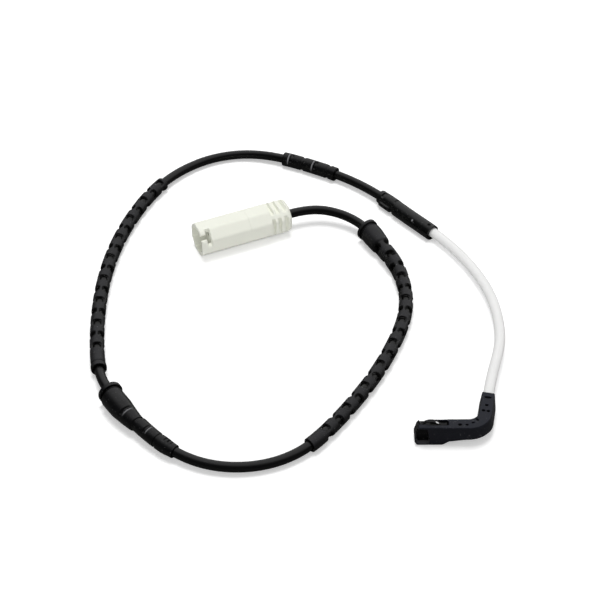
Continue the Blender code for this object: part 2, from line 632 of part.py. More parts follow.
socket = round_bore(LEAD_SLEEVE_DIAMETER, TUBE_SIDES, SOCKET_CLEARANCE)
socket_rings = [circle_ring(head_entry + distance * entry_forward, entry_side, head_up, socket / 2,
                            TUBE_SIDES, math.pi / TUBE_SIDES)
                for distance in (-1.0, LEAD_IN_HEAD + CLEARANCE)]
combine(head, "lead_socket", [(socket_rings, False)], "DIFFERENCE")
channel_line = head_line(0.0, entry=LEAD_IN_HEAD - 1.0, tip=CHANNEL_END)
channel_ways = unit(np.gradient(channel_line, axis=0))
combine(head, "wire_channel", [([
    circle_ring(centre, unit(np.cross(head_up, way)), head_up, CHANNEL_DIAMETER / 2, TUBE_SIDES)
    for centre, way in zip(channel_line, channel_ways)], False)], "DIFFERENCE")
pocket_rings = []
for aside in (POCKET_FAR_SIDE, HEAD_BOTTOM_WIDTH):
    outline = ((0.8, POCKET_TOP), (4.1, POCKET_TOP), (4.5, POCKET_TOP - 0.5), (3.8, POCKET_BOTTOM + 0.6),
               (3.2, POCKET_BOTTOM), (-0.2, POCKET_BOTTOM), (-0.8, POCKET_BOTTOM + 0.7), (0.4, POCKET_TOP - 0.5))
    pocket_rings.append(np.array([tip_point(back, aside, height) for back, height in outline]))
combine(head, "contact_pocket", [(pocket_rings, False)], "DIFFERENCE")
slot_low, slot_high = CLIP_SLOT
slot_far, slot_near = CLIP_SLOT_SIDES
slot_outline = rectangle(slot_low, slot_high, slot_far, slot_near)
combine(head, "clip_slot", [([
    np.array([tip_point(back, aside, height) for back, aside in slot_outline])
    for height in (CLIP_SLOT_FLOOR, HEAD_TOP + 1.0)], False)], "DIFFERENCE")
step_outline = rectangle(-2.0, slot_low + 0.5, -HEAD_BOTTOM_WIDTH, TIP_STEP_SIDE)
combine(head, "tip_step", [([
    np.array([tip_point(back, aside, height) for back, aside in step_outline])
    for height in (CLIP_SLOT_FLOOR - 0.05, HEAD_TOP + 1.0)], False)], "DIFFERENCE")

# Wires from the splice, through the lead sleeve and the head, to the contact loop
for number, sign in ((1, 1), (2, -1)):
    lead_stations = np.arange(lead_start + 5.0, lead_end, CORD_STEP)
    stations = np.concatenate(([crimp_middle + CLEARANCE / 2, crimp_end, crimp_end + 0.5, lead_start - 0.5,
                                lead_start + 0.8], lead_stations))
    offsets = sign * np.concatenate(([crimp_half, crimp_half, crimp_half - 0.05, wire_half + 0.1, wire_half],
                                     np.full(len(lead_stations), wire_half)))
    in_head = head_line(sign * wire_half, entry=LEAD_IN_HEAD + 1.0, tip=LOOP_BACK + CLEARANCE)
    make_cord(f"sensor_wire_{number}", np.vstack((wire_points(stations, offsets), in_head)),
              WIRE_DIAMETER, grey_wire)

loop_angles = np.linspace(0, math.pi, 9)
loop_places = ([(LOOP_BACK, wire_half)]
               + [(LOOP_FRONT + wire_half * (1 - math.sin(a)), wire_half * math.cos(a)) for a in loop_angles]
               + [(LOOP_BACK, -wire_half)])
make_cord("wear_contact", np.array([tip_point(back, aside, head_entry[2]) for back, aside in loop_places]),
          LOOP_DIAMETER, tinned)

# Spring clip: a strip bent along the top of the tip, its front end turned up to a tooth
clip_floor = CLIP_SLOT_FLOOR + CLEARANCE + CLIP_THICKNESS / 2
clip_middle = (TIP_STEP_SIDE + slot_far) / 2
clip_width = TIP_STEP_SIDE - slot_far - 2 * CLEARANCE
clip_path = ((10.5, clip_floor, 1.0), (8.2, clip_floor, 1.0), (6.0, clip_floor + 1.25, 1.0),
             (4.4, clip_floor + 1.5, 1.0), (2.8, clip_floor + 1.1, 1.0), (1.4, clip_floor + 0.2, 1.0),
             (0.5, clip_floor + 0.25, 1.0), (0.0, clip_floor + 1.9, 0.3))
clip_line = np.array([(back, height) for back, height, _ in clip_path])
clip_ways = unit(np.gradient(clip_line, axis=0))
clip_rings = []
for (back, height, share), (way_back, way_up) in zip(clip_path, clip_ways):
    half, thick = clip_width / 2 * share, CLIP_THICKNESS / 2
    corners = ((half, thick), (-half, thick), (-half, -thick), (half, -thick))
    clip_rings.append(np.array([
        tip_point(back + rise * way_up, clip_middle + aside, height - rise * way_back)
        for aside, rise in corners]))
make_object("spring_clip", [(clip_rings, False)], steel)
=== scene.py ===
"""A brake pad wear sensor lying on a white table, seen from above at its side."""
import math

import bpy
import numpy as np
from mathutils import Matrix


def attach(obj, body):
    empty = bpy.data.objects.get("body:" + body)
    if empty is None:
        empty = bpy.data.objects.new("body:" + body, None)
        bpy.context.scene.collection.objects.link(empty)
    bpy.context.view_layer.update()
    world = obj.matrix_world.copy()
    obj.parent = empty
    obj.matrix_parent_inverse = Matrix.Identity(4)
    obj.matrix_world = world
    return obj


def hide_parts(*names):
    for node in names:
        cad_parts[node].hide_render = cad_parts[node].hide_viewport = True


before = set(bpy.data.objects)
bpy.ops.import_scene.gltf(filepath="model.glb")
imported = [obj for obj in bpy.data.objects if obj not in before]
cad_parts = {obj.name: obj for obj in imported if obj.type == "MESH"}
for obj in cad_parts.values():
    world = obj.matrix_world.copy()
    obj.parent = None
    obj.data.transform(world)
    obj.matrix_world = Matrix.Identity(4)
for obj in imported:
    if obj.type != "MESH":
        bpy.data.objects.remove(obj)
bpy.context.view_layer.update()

# Camera
# The sensor is seen from 42.5 degrees above the table with a long lens, so that its loop
# fills the square picture as it does in the photograph.
CAMERA_PLACE = (-0.0577, -0.3640, 0.3974)
CAMERA_TILT = 42.5
CAMERA_LENS = 86.34
CAMERA_SENSOR = 36.0
CAMERA_RANGE = (0.01, 20.0)

camera_data = bpy.data.cameras.new("camera")
camera_data.lens = CAMERA_LENS
camera_data.sensor_width = CAMERA_SENSOR
camera_data.clip_start, camera_data.clip_end = CAMERA_RANGE
camera = bpy.data.objects.new("camera", camera_data)
camera.location = CAMERA_PLACE
camera.rotation_euler = (math.radians(90.0 - CAMERA_TILT), 0.0, 0.0)
bpy.context.scene.collection.objects.link(camera)
bpy.context.scene.camera = camera
bpy.context.scene.view_settings.view_transform = "Standard"


# Table, light and surroundings
# A matt white table under one soft lamp overhead, a weak wide one on the near side and a pale
# room. The table gives the camera a little light of its own, so that shadows stay faint.
TABLE_SIZE = 6.0
TABLE_COLOUR = (0.90, 0.90, 0.90)
# The table as glossy pieces mirror it: painted dark, a painted shade in their reflections
TABLE_SHADE_IN_GLOSS = (0.12, 0.12, 0.12)
TABLE_LIFT = 0.30
# Name, place, tilt in degrees, width and power
LAMPS = [("overhead_lamp", (-0.10, 0.30, 1.0), 0.0, 0.45, 6.2),
         ("fill_lamp", (-0.06, -1.20, 0.70), 61.0, 1.2, 5.0)]
SKY_STRENGTH = 0.45
# What glossy pieces mirror: a pale room above and behind, a dim one on the near side
GLOSS_TOWARDS = (0.28, 0.62, 0.73)
GLOSS_RANGE = (0.32, 0.80)
GLOSS_LEVELS = (0.05, 0.95)


class Field:
    """A shader socket that takes part in arithmetic; each expression adds its Math node."""

    def __init__(self, nodes, socket):
        self.nodes = nodes
        self.socket = socket

    def math(self, operation, other):
        return self.nodes.node("Math", {"operation": operation}, {0: self, 1: other})

    def __add__(self, other):
        return self.math("ADD", other)

    def __mul__(self, other):
        return self.math("MULTIPLY", other)

    __radd__ = __add__
    __rmul__ = __mul__


class Nodes:
    """The node tree of a material or of the surroundings."""

    def __init__(self, owner):
        owner.use_nodes = True
        self.tree = owner.node_tree

    def join(self, value, socket):
        """Give a socket a value or a link."""
        if isinstance(value, Field):
            self.tree.links.new(value.socket, socket)
        else:
            socket.default_value = value

    def node(self, kind, settings=None, inputs=None, output=0):
        """Add a node: its type, its settings, then the values or links of its sockets."""
        made = self.tree.nodes.new("ShaderNode" + kind)
        for key, value in (settings or {}).items():
            setattr(made, key, value)
        for key, value in (inputs or {}).items():
            self.join(value, made.inputs[key])
        return Field(self, made.outputs[output])

    def step(self, value, low, high, bottom=0.0, top=1.0):
        """The bottom level below low, the top level above high, and a soft rise between."""
        return self.node("MapRange", {"interpolation_type": "SMOOTHSTEP"},
                         {"Value": value, "From Min": low, "From Max": high,
                          "To Min": bottom, "To Max": top})


class Finish(Nodes):
    """A material, with the numbers that stay the same all over it."""

    def __init__(self, name, **constants):
        self.material = bpy.data.materials.new(name)
        super().__init__(self.material)
        self.shader = self.tree.nodes["Principled BSDF"]
        for socket, value in constants.items():
            self.set(socket.replace("_", " "), value)

    def place(self):
        """Where a point lies on the piece, in metres."""
        return self.node("TexCoord", output="Object")

    def noise(self, grain, detail=2.0, stretch=(1.0, 1.0, 1.0)):
        """Soft noise whose grains are about so many metres across."""
        where = self.node("Mapping", inputs={"Vector": self.place(), "Scale": stretch})
        return self.node("TexNoise", inputs={"Vector": where, "Scale": 1.0 / grain, "Detail": detail})

    def between(self, amount, first, second):
        """A colour between two, by an amount from 0 to 1; the first may itself be such a colour."""
        first = first if isinstance(first, Field) else (*first, 1.0)
        return self.node("Mix", {"data_type": "RGBA"},
                         {"Factor": amount, "A": first, "B": (*second, 1.0)}, "Result")

    def share(self, name):
        """A number from 0 to 1 that the mesh carries at each point. The painted top sheen is 1 on open
        top sides and 0 on undersides. The painted shade is 1 in windows, slots, dents and bores. The
        painted highlight is 1 on lit edges and glints."""
        return self.node("Attribute", {"attribute_name": name}, output="Fac")

    def raise_by(self, height, distance, strength=1.0):
        """Let a height field stand out of the surface by up to a distance in metres."""
        bump = self.node("Bump", inputs={"Height": height, "Distance": distance, "Strength": strength})
        self.join(bump, self.shader.inputs["Normal"])

    def set(self, socket, value):
        """Give one of the shader's own sockets a value or a link."""
        self.join(value, self.shader.inputs[socket])


table_finish = Finish("white_table", Roughness=0.9, Specular_IOR_Level=0.0)
mirrored = table_finish.node("LightPath", output="Is Glossy Ray")
# Glossy rays see the table painted dark: painted shade in the reflections of the pieces
table_finish.set("Base Color", table_finish.between(mirrored, TABLE_COLOUR, TABLE_SHADE_IN_GLOSS))
seen = table_finish.node("LightPath", output="Is Camera Ray")
lift = table_finish.node("Emission", inputs={"Strength": seen * TABLE_LIFT})
matt = Field(table_finish, table_finish.shader.outputs[0])
both = table_finish.node("AddShader", inputs={0: matt, 1: lift})
table_finish.join(both, table_finish.tree.nodes["Material Output"].inputs["Surface"])
table_mesh = bpy.data.meshes.new("table")
half_table = TABLE_SIZE / 2
table_mesh.from_pydata([(-half_table, -half_table, 0), (half_table, -half_table, 0),
                        (half_table, half_table, 0), (-half_table, half_table, 0)], [], [(0, 1, 2, 3)])
table_mesh.materials.append(table_finish.material)
table = bpy.data.objects.new("table", table_mesh)
bpy.context.scene.collection.objects.link(table)

for name, place, tilt, width, power in LAMPS:
    lamp_data = bpy.data.lights.new(name, "AREA")
    lamp_data.shape = "SQUARE"
    lamp_data.size = width
    lamp_data.energy = power
    lamp = bpy.data.objects.new(name, lamp_data)
    lamp.location = place
    lamp.rotation_euler = (math.radians(tilt), 0.0, 0.0)
    lamp.visible_glossy = False
    bpy.context.scene.collection.objects.link(lamp)

sky = bpy.data.worlds.new("white_surroundings")
bpy.context.scene.world = sky
sky_nodes = Nodes(sky)
backdrop = sky_nodes.tree.nodes["Background"]
sky_nodes.join((1.0, 1.0, 1.0, 1.0), backdrop.inputs["Color"])
way = sky_nodes.node("TexCoord", output="Generated")
facing = sky_nodes.node("VectorMath", {"operation": "DOT_PRODUCT"}, {0: way, 1: GLOSS_TOWARDS}, "Value")
gloss_level = sky_nodes.step(facing, *GLOSS_RANGE, *GLOSS_LEVELS)
sky_level = SKY_STRENGTH
for kind, level in (("Is Glossy Ray", gloss_level), ("Is Transmission Ray", 1.0), ("Is Camera Ray", 1.0)):
    ray = sky_nodes.node("LightPath", output=kind)
    sky_level = sky_nodes.node("Mix", inputs={"Factor": ray, "A": sky_level, "B": level}, output="Result")
sky_nodes.join(sky_level, backdrop.inputs["Strength"])


# Cable
# A two-core cable with a black extruded jacket. It comes out of the back of the connector,
# lies round the loop through its grommets and sleeves, and ends in the splice.
CABLE_ROUTE = [
    (-0.0722, 0.1125, 0.0069), (-0.0617, 0.1171, 0.0069), (-0.0555, 0.1191, 0.0069),
    (-0.0489, 0.1199, 0.0066), (-0.0421, 0.1185, 0.0062), (-0.0357, 0.1153, 0.0056),
    (-0.0295, 0.1092, 0.0051), (-0.0236, 0.0984, 0.0046), (-0.0186, 0.0887, 0.0039),
    (-0.0155, 0.0777, 0.0033), (-0.0147, 0.0664, 0.0030), (-0.0165, 0.0540, 0.0030),
    (-0.0213, 0.0400, 0.0030), (-0.0283, 0.0248, 0.0030), (-0.0371, 0.0099, 0.0030),
    (-0.0466, -0.0036, 0.0030), (-0.0570, -0.0145, 0.0028), (-0.0677, -0.0202, 0.0026),
    (-0.0791, -0.0224, 0.0027), (-0.0906, -0.0213, 0.0029), (-0.1019, -0.0165, 0.0033),
    (-0.1120, -0.0086, 0.0041), (-0.1204, 0.0005, 0.0046), (-0.1281, 0.0109, 0.0048),
    (-0.1335, 0.0212, 0.0041), (-0.1363, 0.0328, 0.0033), (-0.1382, 0.0504, 0.0030),
    (-0.1386, 0.0740, 0.0030), (-0.1354, 0.1004, 0.0030), (-0.1286, 0.1236, 0.0030),
    (-0.1182, 0.1438, 0.0030), (-0.1087, 0.1546, 0.0027), (-0.0963, 0.1625, 0.0025),
    (-0.0819, 0.1652, 0.0026), (-0.0691, 0.1626, 0.0031), (-0.0554, 0.1569, 0.0032),
    (-0.0429, 0.1502, 0.0032), (-0.0315, 0.1423, 0.0032),
]
LEAD_ROUTE = [
    (-0.0204, 0.1313, 0.0035), (-0.0098, 0.1190, 0.0035), (-0.0014, 0.1093, 0.0035),
    (0.0077, 0.0967, 0.0036), (0.0144, 0.0836, 0.0039), (0.0192, 0.0691, 0.0043),
    (0.0211, 0.0539, 0.0047), (0.0201, 0.0381, 0.0050), (0.0167, 0.0253, 0.0053),
    (0.0128, 0.0092, 0.0055), (0.0118, 0.0043, 0.0055),
]
ROUTE_STEP = 0.0005
JACKET_DIAMETER = 0.0039
JACKET_IN_PLUG = 0.0097
JACKET_SIDES = 32
JACKET_STEP = 0.0012
# Dark and pale black of the jacket: the pale one shows where the painted sheen is strongest
JACKET_BLACKS = ((0.0008, 0.0008, 0.0008), (0.0022, 0.0022, 0.0026))
SHARP_ANGLE = 38.0
# Where the rubber pieces and the splice lie: distance from the connector's back, and length
GROMMET_SLEEVE_START, GROMMET_SLEEVE_LENGTH = 0.0379, 0.1355
SHORT_GROMMET_START, SHORT_GROMMET_LENGTH = 0.2263, 0.0396
LONG_SLEEVE_START, LONG_SLEEVE_LENGTH = 0.2799, 0.1208
SHORT_SLEEVE_START, SHORT_SLEEVE_LENGTH = 0.4631, 0.0261
SPLICE_START, SPLICE_LENGTH = 0.5146, 0.0327
SPLICE_JACKET_END = 0.0122


def unit(vectors):
    """Each vector at length one."""
    return vectors / np.linalg.norm(vectors, axis=-1, keepdims=True)


def natural_spline(points, step):
    """Points about a step apart on the curve through the given ones whose bend changes evenly
    from each to the next and is nothing at both ends."""
    knots = np.array(points)
    spans = np.linalg.norm(np.diff(knots, axis=0), axis=1)
    places = np.concatenate(([0.0], np.cumsum(spans)))
    count = len(knots)
    matrix = np.eye(count)
    rates = np.zeros((count, 3))
    slopes = np.diff(knots, axis=0) / spans[:, None]
    for i in range(1, count - 1):
        matrix[i, i - 1:i + 2] = spans[i - 1], 2 * (spans[i - 1] + spans[i]), spans[i]
        rates[i] = 6 * (slopes[i] - slopes[i - 1])
    bends = np.linalg.solve(matrix, rates)
    at = np.linspace(0, places[-1], int(places[-1] / step) + 1)
    k = np.clip(np.searchsorted(places, at) - 1, 0, count - 2)
    span = spans[k][:, None]
    before = (places[k + 1] - at)[:, None] / span
    after = (at - places[k])[:, None] / span
    curve = before * knots[k] + after * knots[k + 1]
    curve += ((before ** 3 - before) * bends[k] + (after ** 3 - after) * bends[k + 1]) * span ** 2 / 6
    return curve


route_points = natural_spline(CABLE_ROUTE + LEAD_ROUTE, ROUTE_STEP)
route_lengths = np.concatenate(
    ([0.0], np.cumsum(np.linalg.norm(np.diff(route_points, axis=0), axis=1))))
route_end = route_lengths[-1] - JACKET_IN_PLUG


def route_frame(stations):
    """Centre, forward, side and up at distances along the route from the connector's back."""
    along = np.asarray(stations, dtype=float) + JACKET_IN_PLUG
    low = np.clip(along - ROUTE_STEP, 0, route_lengths[-1])
    high = np.clip(along + ROUTE_STEP, 0, route_lengths[-1])
    centre, before, after = (
        np.stack([np.interp(at, route_lengths, route_points[:, axis]) for axis in range(3)], axis=-1)
        for at in (along, low, high))
    forward = unit(after - before)
    side = unit(np.cross((0.0, 0.0, 1.0), forward))
    return centre, forward, side, np.cross(forward, side)


def column_angles(columns):
    """The angles of evenly spaced columns round a ring."""
    return np.arange(columns) * 2 * math.pi / columns


def tube_rows(stations, radii, columns, aside=0.0):
    """Rings round the route: at each station, centre plus radius times the turning direction
    from side through up. There is one radius for all, for each ring or for each point. The centre
    may lie aside from the route."""
    centre, _, side, up = route_frame(stations)
    centre = centre + np.reshape(aside, (-1, 1)) * side
    angles = column_angles(columns)[None, :, None]
    outward = np.cos(angles) * side[:, None] + np.sin(angles) * up[:, None]
    radii = np.reshape(radii, (-1, 1) if np.ndim(radii) < 2 else (-1, columns))
    return centre[:, None] + radii[..., None] * outward


def grid_faces(rows, columns):
    """Corner numbers of a grid of rows, each closed on itself."""
    row, column = np.meshgrid(np.arange(rows - 1), np.arange(columns), indexing="ij")
    following = (column + 1) % columns
    return np.stack((row * columns + column, row * columns + following,
                     (row + 1) * columns + following, (row + 1) * columns + column),
                    axis=-1).reshape(-1, 4)


def make_piece(name, points, faces, finish, nodes, sharp=SHARP_ANGLE, painted_shade=0.0, painted_highlight=0.0):
    """One piece of the sensor, shaded smooth but for edges sharper than the angle. Its painted top
    sheen is the height of its normals, squared, less where shade is painted."""
    mesh = bpy.data.meshes.new(name)
    mesh.from_pydata(points.reshape(-1, 3).tolist(), [], faces)
    mesh.shade_smooth()
    mesh.set_sharp_from_angle(angle=math.radians(sharp))
    mesh.materials.append(finish.material)
    normals = np.zeros(len(mesh.vertices) * 3)
    mesh.vertex_normals.foreach_get("vector", normals)
    # Painted sheen: pieces are lighter on their top sides, as if lit from above
    top_sheen = np.clip(0.2 + 0.8 * normals[2::3], 0, 1) ** 2 * (1 - painted_shade)
    for attribute, values in (("top_sheen", top_sheen), ("painted_shade", painted_shade), ("painted_highlight", painted_highlight)):
        values = np.broadcast_to(values, top_sheen.shape).astype(float)
        mesh.attributes.new(attribute, "FLOAT", "POINT").data.foreach_set("value", values)
    item = bpy.data.objects.new(name, mesh)
    bpy.context.scene.collection.objects.link(item)
    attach(item, "root")
    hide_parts(*nodes)
    return item


def solid_rows(name, rows, finish, nodes, sharp=SHARP_ANGLE, painted_shade=0.0, painted_highlight=0.0):
    """A solid whose skin is a stack of rings, closed by a flat face at each end."""
    count, columns = rows.shape[:2]
    faces = grid_faces(count, columns).tolist()
    faces.append(list(range(columns))[::-1])
    faces.append([(count - 1) * columns + c for c in range(columns)])
    return make_piece(name, rows, faces, finish, nodes, sharp, painted_shade, painted_highlight)


jacket_finish = Finish("cable_jacket", Specular_IOR_Level=0.42)
jacket_grime = jacket_finish.noise(0.004, 3.0)
# Painted sheen: the jacket is paler on its top sides, mottled by its grime
jacket_sheen = jacket_finish.share("top_sheen") * (0.6 + 0.6 * jacket_grime)
jacket_finish.set("Base Color", jacket_finish.between(jacket_sheen, *JACKET_BLACKS))
jacket_finish.set("Roughness", 0.26 + 0.14 * jacket_grime)
jacket_finish.raise_by(jacket_finish.noise(0.0009, 2.0), 0.00003, 0.6)
jacket_end = SPLICE_START + SPLICE_JACKET_END
jacket_rows = round((jacket_end + JACKET_IN_PLUG) / JACKET_STEP)
jacket_stations = np.linspace(-JACKET_IN_PLUG, jacket_end, jacket_rows)
# Painted shade: where the fittings cover the jacket it loses its painted sheen and keeps its dark black
shaded_under_fittings = np.zeros(len(jacket_stations))
for start, length in (
        (GROMMET_SLEEVE_START, GROMMET_SLEEVE_LENGTH), (SHORT_GROMMET_START, SHORT_GROMMET_LENGTH),
        (LONG_SLEEVE_START, LONG_SLEEVE_LENGTH), (SHORT_SLEEVE_START, SHORT_SLEEVE_LENGTH),
        (SPLICE_START, SPLICE_LENGTH)):
    shaded_under_fittings[(jacket_stations > start) & (jacket_stations < start + length)] = 1.0
cable = solid_rows("black_cable", tube_rows(jacket_stations, JACKET_DIAMETER / 2, JACKET_SIDES),
                   jacket_finish, ["cable_jacket"],
                   painted_shade=np.repeat(shaded_under_fittings, JACKET_SIDES))


# Lead
# From the splice to the head the two wires run in a milky, slightly see-through sleeve that
# keeps them off the hot brake. Its ends are held in the splice and in the head.
LEAD_DIAMETER = 0.0042
LEAD_WALL = 0.0005
LEAD_SIDES = 40
SPLICE_LEAD_STOP = 0.0248
LEAD_START = SPLICE_START + SPLICE_LEAD_STOP
OPEN_DEPTH = 0.999
WIRE_DIAMETER = 0.0009
WIRE_SPACING = 0.0013
WIRE_SIDES = 16


def pierced_wall(name, outer, inner, depth, finish, nodes, sharp=SHARP_ANGLE, painted_highlight=0.0):
    """A wall between two grids of rings. The outer skin sinks towards the inner one by its
    depth, from 0 to 1; where the depth is 1 both skins meet and the wall is open."""
    count, columns = outer.shape[:2]
    total = count * columns
    skin = outer + depth[..., None] * (inner - outer)
    through = (depth > OPEN_DEPTH).reshape(-1)
    inner_number = np.where(through, np.arange(total), np.arange(total) + total)
    outside = grid_faces(count, columns)
    outside = outside[~through[outside].all(axis=1)]
    inside = inner_number[outside[:, ::-1]]
    ring = np.arange(columns)
    after = (ring + 1) % columns
    last = (count - 1) * columns
    front = np.stack((inner_number[ring], inner_number[after], after, ring), axis=-1)
    back = np.stack((last + ring, last + after, inner_number[last + after],
                     inner_number[last + ring]), axis=-1)
    faces = []
    for corners in np.concatenate((outside, inside, front, back)).tolist():
        distinct = list(dict.fromkeys(corners))
        if len(distinct) > 2:
            faces.append(distinct)
    used = np.unique(np.concatenate([np.array(face) for face in faces]))
    renumber = np.zeros(2 * total, dtype=int)
    renumber[used] = np.arange(len(used))
    points = np.concatenate((skin.reshape(-1, 3), inner.reshape(-1, 3)))[used]
    faces = [renumber[face].tolist() for face in faces]
    # Painted shade: the outer skin darkens with a window's depth, and the inner skin is painted dark
    # throughout
    painted_shade = np.concatenate((np.sqrt(depth).reshape(-1), np.ones(total)))[used]
    painted_highlight = np.concatenate((np.broadcast_to(painted_highlight, depth.shape).reshape(-1), np.zeros(total)))[used]
    return make_piece(name, points, faces, finish, nodes, sharp, painted_shade, painted_highlight)


sleeve_finish = Finish("milky_sleeve", Roughness=0.38, Specular_IOR_Level=0.30, Alpha=0.84)
cloud = sleeve_finish.noise(0.003, 3.0)
sleeve_finish.set("Base Color", sleeve_finish.between(cloud, (0.90, 0.90, 0.89), (0.95, 0.95, 0.945)))
sleeve_finish.raise_by(sleeve_finish.noise(0.0015, 2.0), 0.00004, 0.5)
lead_stations = np.linspace(LEAD_START, route_end, round((route_end - LEAD_START) / JACKET_STEP))
lead = pierced_wall("lead_sleeve", tube_rows(lead_stations, LEAD_DIAMETER / 2, LEAD_SIDES),
                    tube_rows(lead_stations, LEAD_DIAMETER / 2 - LEAD_WALL, LEAD_SIDES),
                    np.zeros((len(lead_stations), LEAD_SIDES)), sleeve_finish, ["white_sleeve"])

wire_finish = Finish("wire_insulation", Specular_IOR_Level=0.3)
wire_mark = wire_finish.noise(0.006, 2.0)
wire_finish.set("Base Color", wire_finish.between(wire_mark, (0.55, 0.55, 0.52), (0.70, 0.70, 0.66)))
wire_finish.set("Roughness", 0.4 + 0.15 * wire_mark)
for number, sign in ((1, 1), (2, -1)):
    rows = tube_rows(lead_stations, WIRE_DIAMETER / 2, WIRE_SIDES, sign * WIRE_SPACING / 2)
    solid_rows(f"lead_wire_{number}", rows, wire_finish, [f"sensor_wire_{number}"])


# Long sleeves
# Two black rubber tubes slid over the cable guard it against chafing. Each is moulded with
# windows through its wall, three round it, so that it bends; one ends in a grommet collar.
SLEEVE_COLUMNS = 72
SLEEVE_ROW_STEP = 0.00034
EDGE_SOFTNESS = 0.00035
BORE_DIAMETER = 0.0045
WINDOW_ALONG = 0.0030
WINDOW_ACROSS = 0.0050
WINDOW_PITCH = 0.00663
WINDOW_SLOPE = 0.0003
WINDOWS_ROUND = 3
PROFILE_TAPS = 9
# Profiles of the sleeves and fittings: distance from their first end, and diameter
GROMMET_SLEEVE_PROFILE = [
    (0.0, 0.0080), (0.0, 0.0097), (0.0016, 0.0097), (0.0016, 0.0075), (0.0032, 0.0075), (0.0032, 0.0091),
    (0.0060, 0.0091), (0.0090, 0.0087), (0.0120, 0.0082), (0.0126, 0.0072), (0.0180, 0.0071),
    (0.0240, 0.0068), (0.0320, 0.0062), (0.0410, 0.0058), (GROMMET_SLEEVE_LENGTH, 0.0058),
    (GROMMET_SLEEVE_LENGTH, 0.0054)]
LONG_SLEEVE_PROFILE = [
    (0.0, 0.0056), (0.0, 0.0062), (0.0020, 0.0062), (0.0020, 0.0053), (0.0028, 0.0053), (0.0028, 0.0058),
    (LONG_SLEEVE_LENGTH, 0.0058), (LONG_SLEEVE_LENGTH, 0.0054)]
# Distance of the first windows, how many stations, and the bearing of the first in degrees
GROMMET_SLEEVE_WINDOWS = (0.0140, 18, 42.0)
LONG_SLEEVE_WINDOWS = (0.0117, 17, 92.0)
# Colours of black rubber under painted shade, under a speck of dust, and under a painted highlight
PAINTED_SHADE_COLOUR = (0.0005, 0.0005, 0.0005)
DUST_COLOUR = (0.16, 0.16, 0.16)
PAINTED_HIGHLIGHT_COLOUR = (0.20, 0.20, 0.21)
# How strongly the mottled bloom and the painted top sheen lighten black rubber
BLOOM_AND_SHEEN_STRENGTH = 1.7
SPECK_RANGE = (0.70, 0.76)
SPECK_STRENGTH = 0.35
# Dark and pale end of each black: the pale end shows where the bloom and the painted top sheen are
# strongest
SLEEVE_BLACKS = ((0.001, 0.001, 0.001), (0.014, 0.014, 0.016))
FITTING_BLACKS = ((0.0008, 0.0008, 0.0008), (0.0026, 0.0026, 0.0034))


def soft_profile(profile, step, softness):
    """Distances and radii at even steps along a profile line, averaged over a short stretch, so
    that every corner is rounded."""
    points = np.array(profile) * (1.0, 0.5)
    lengths = np.concatenate(([0.0], np.cumsum(np.linalg.norm(np.diff(points, axis=0), axis=1))))
    reach = PROFILE_TAPS // 2
    at = np.linspace(0.0, lengths[-1], round(lengths[-1] * (PROFILE_TAPS - 1) / softness))
    padded = np.concatenate((np.full(reach, 0.0), at, np.full(reach, lengths[-1])))
    drawn = np.stack([np.interp(padded, lengths, points[:, axis]) for axis in range(2)])
    kernel = np.full(PROFILE_TAPS, 1 / PROFILE_TAPS)
    smooth = np.stack([np.convolve(line, kernel, mode="valid") for line in drawn])
    picks = np.linspace(0, smooth.shape[1] - 1, round(lengths[-1] / step)).astype(int)
    return smooth[0, picks], smooth[1, picks]


def rise(value):
    """0 below 0, 1 above 1, and three squares less two cubes between."""
    value = np.clip(value, 0.0, 1.0)
    return value * value * (3 - 2 * value)


def rounded_patch(along, across, length, width, slope, power=3.0):
    """1 inside a rounded patch of that length and width, 0 outside, falling over the slope.
    Its outline is where the powers of both distances, each over its half size, sum to one."""
    reach = (np.abs(2 * along / length) ** power + np.abs(2 * across / width) ** power) ** (1 / power)
    return rise(0.5 + (1.0 - reach) * min(length, width) / 2 / slope)


def bearing_gap(columns, bearing):
    """Angle of each column from a bearing in degrees, between half a turn either way."""
    return (column_angles(columns) - math.radians(bearing) + math.pi) % (2 * math.pi) - math.pi


def window_depth(distances, radii, columns, windows):
    """Depth of the windows: some at each station, turned by half their spacing at every other."""
    first, count, angle = windows
    spacing = 360 / WINDOWS_ROUND
    depth = np.zeros((len(distances), columns))
    for k in range(count):
        for turn in range(WINDOWS_ROUND):
            gap = bearing_gap(columns, angle + (k % 2) * spacing / 2 + turn * spacing)
            patch = rounded_patch((distances - first - k * WINDOW_PITCH)[:, None], gap * radii[:, None],
                                  WINDOW_ALONG, WINDOW_ACROSS, WINDOW_SLOPE)
            depth = np.maximum(depth, patch)
    return depth


def rubber_finish(name, dark, pale, gloss, specular):
    """Black moulded rubber: a mottled grey bloom with a painted sheen that is strongest on top,
    painted shade in its hollows, painted highlights on lit lips and rims, a fine skin and dust specks.
    """
    finish = Finish(name, Specular_IOR_Level=specular)
    bloom_and_sheen = finish.noise(0.0035, 4.0) * (BLOOM_AND_SHEEN_STRENGTH * finish.share("top_sheen"))
    specks = finish.step(finish.noise(0.0007, 1.0), *SPECK_RANGE)
    shade = finish.between(bloom_and_sheen, dark, pale)
    # Painted shade: windows, slots, dents and bores go near black
    shade = finish.between(finish.share("painted_shade"), shade, PAINTED_SHADE_COLOUR)
    shade = finish.between(specks * SPECK_STRENGTH, shade, DUST_COLOUR)
    # Painted highlight: lit lips and rims go pale grey
    shade = finish.between(finish.share("painted_highlight"), shade, PAINTED_HIGHLIGHT_COLOUR)
    finish.set("Base Color", shade)
    finish.set("Roughness", gloss + 0.15 * bloom_and_sheen)
    skin = finish.noise(0.00035, 3.0) + 0.6 * finish.noise(0.0016, 2.0)
    finish.raise_by(skin, 0.00005, 0.7)
    return finish


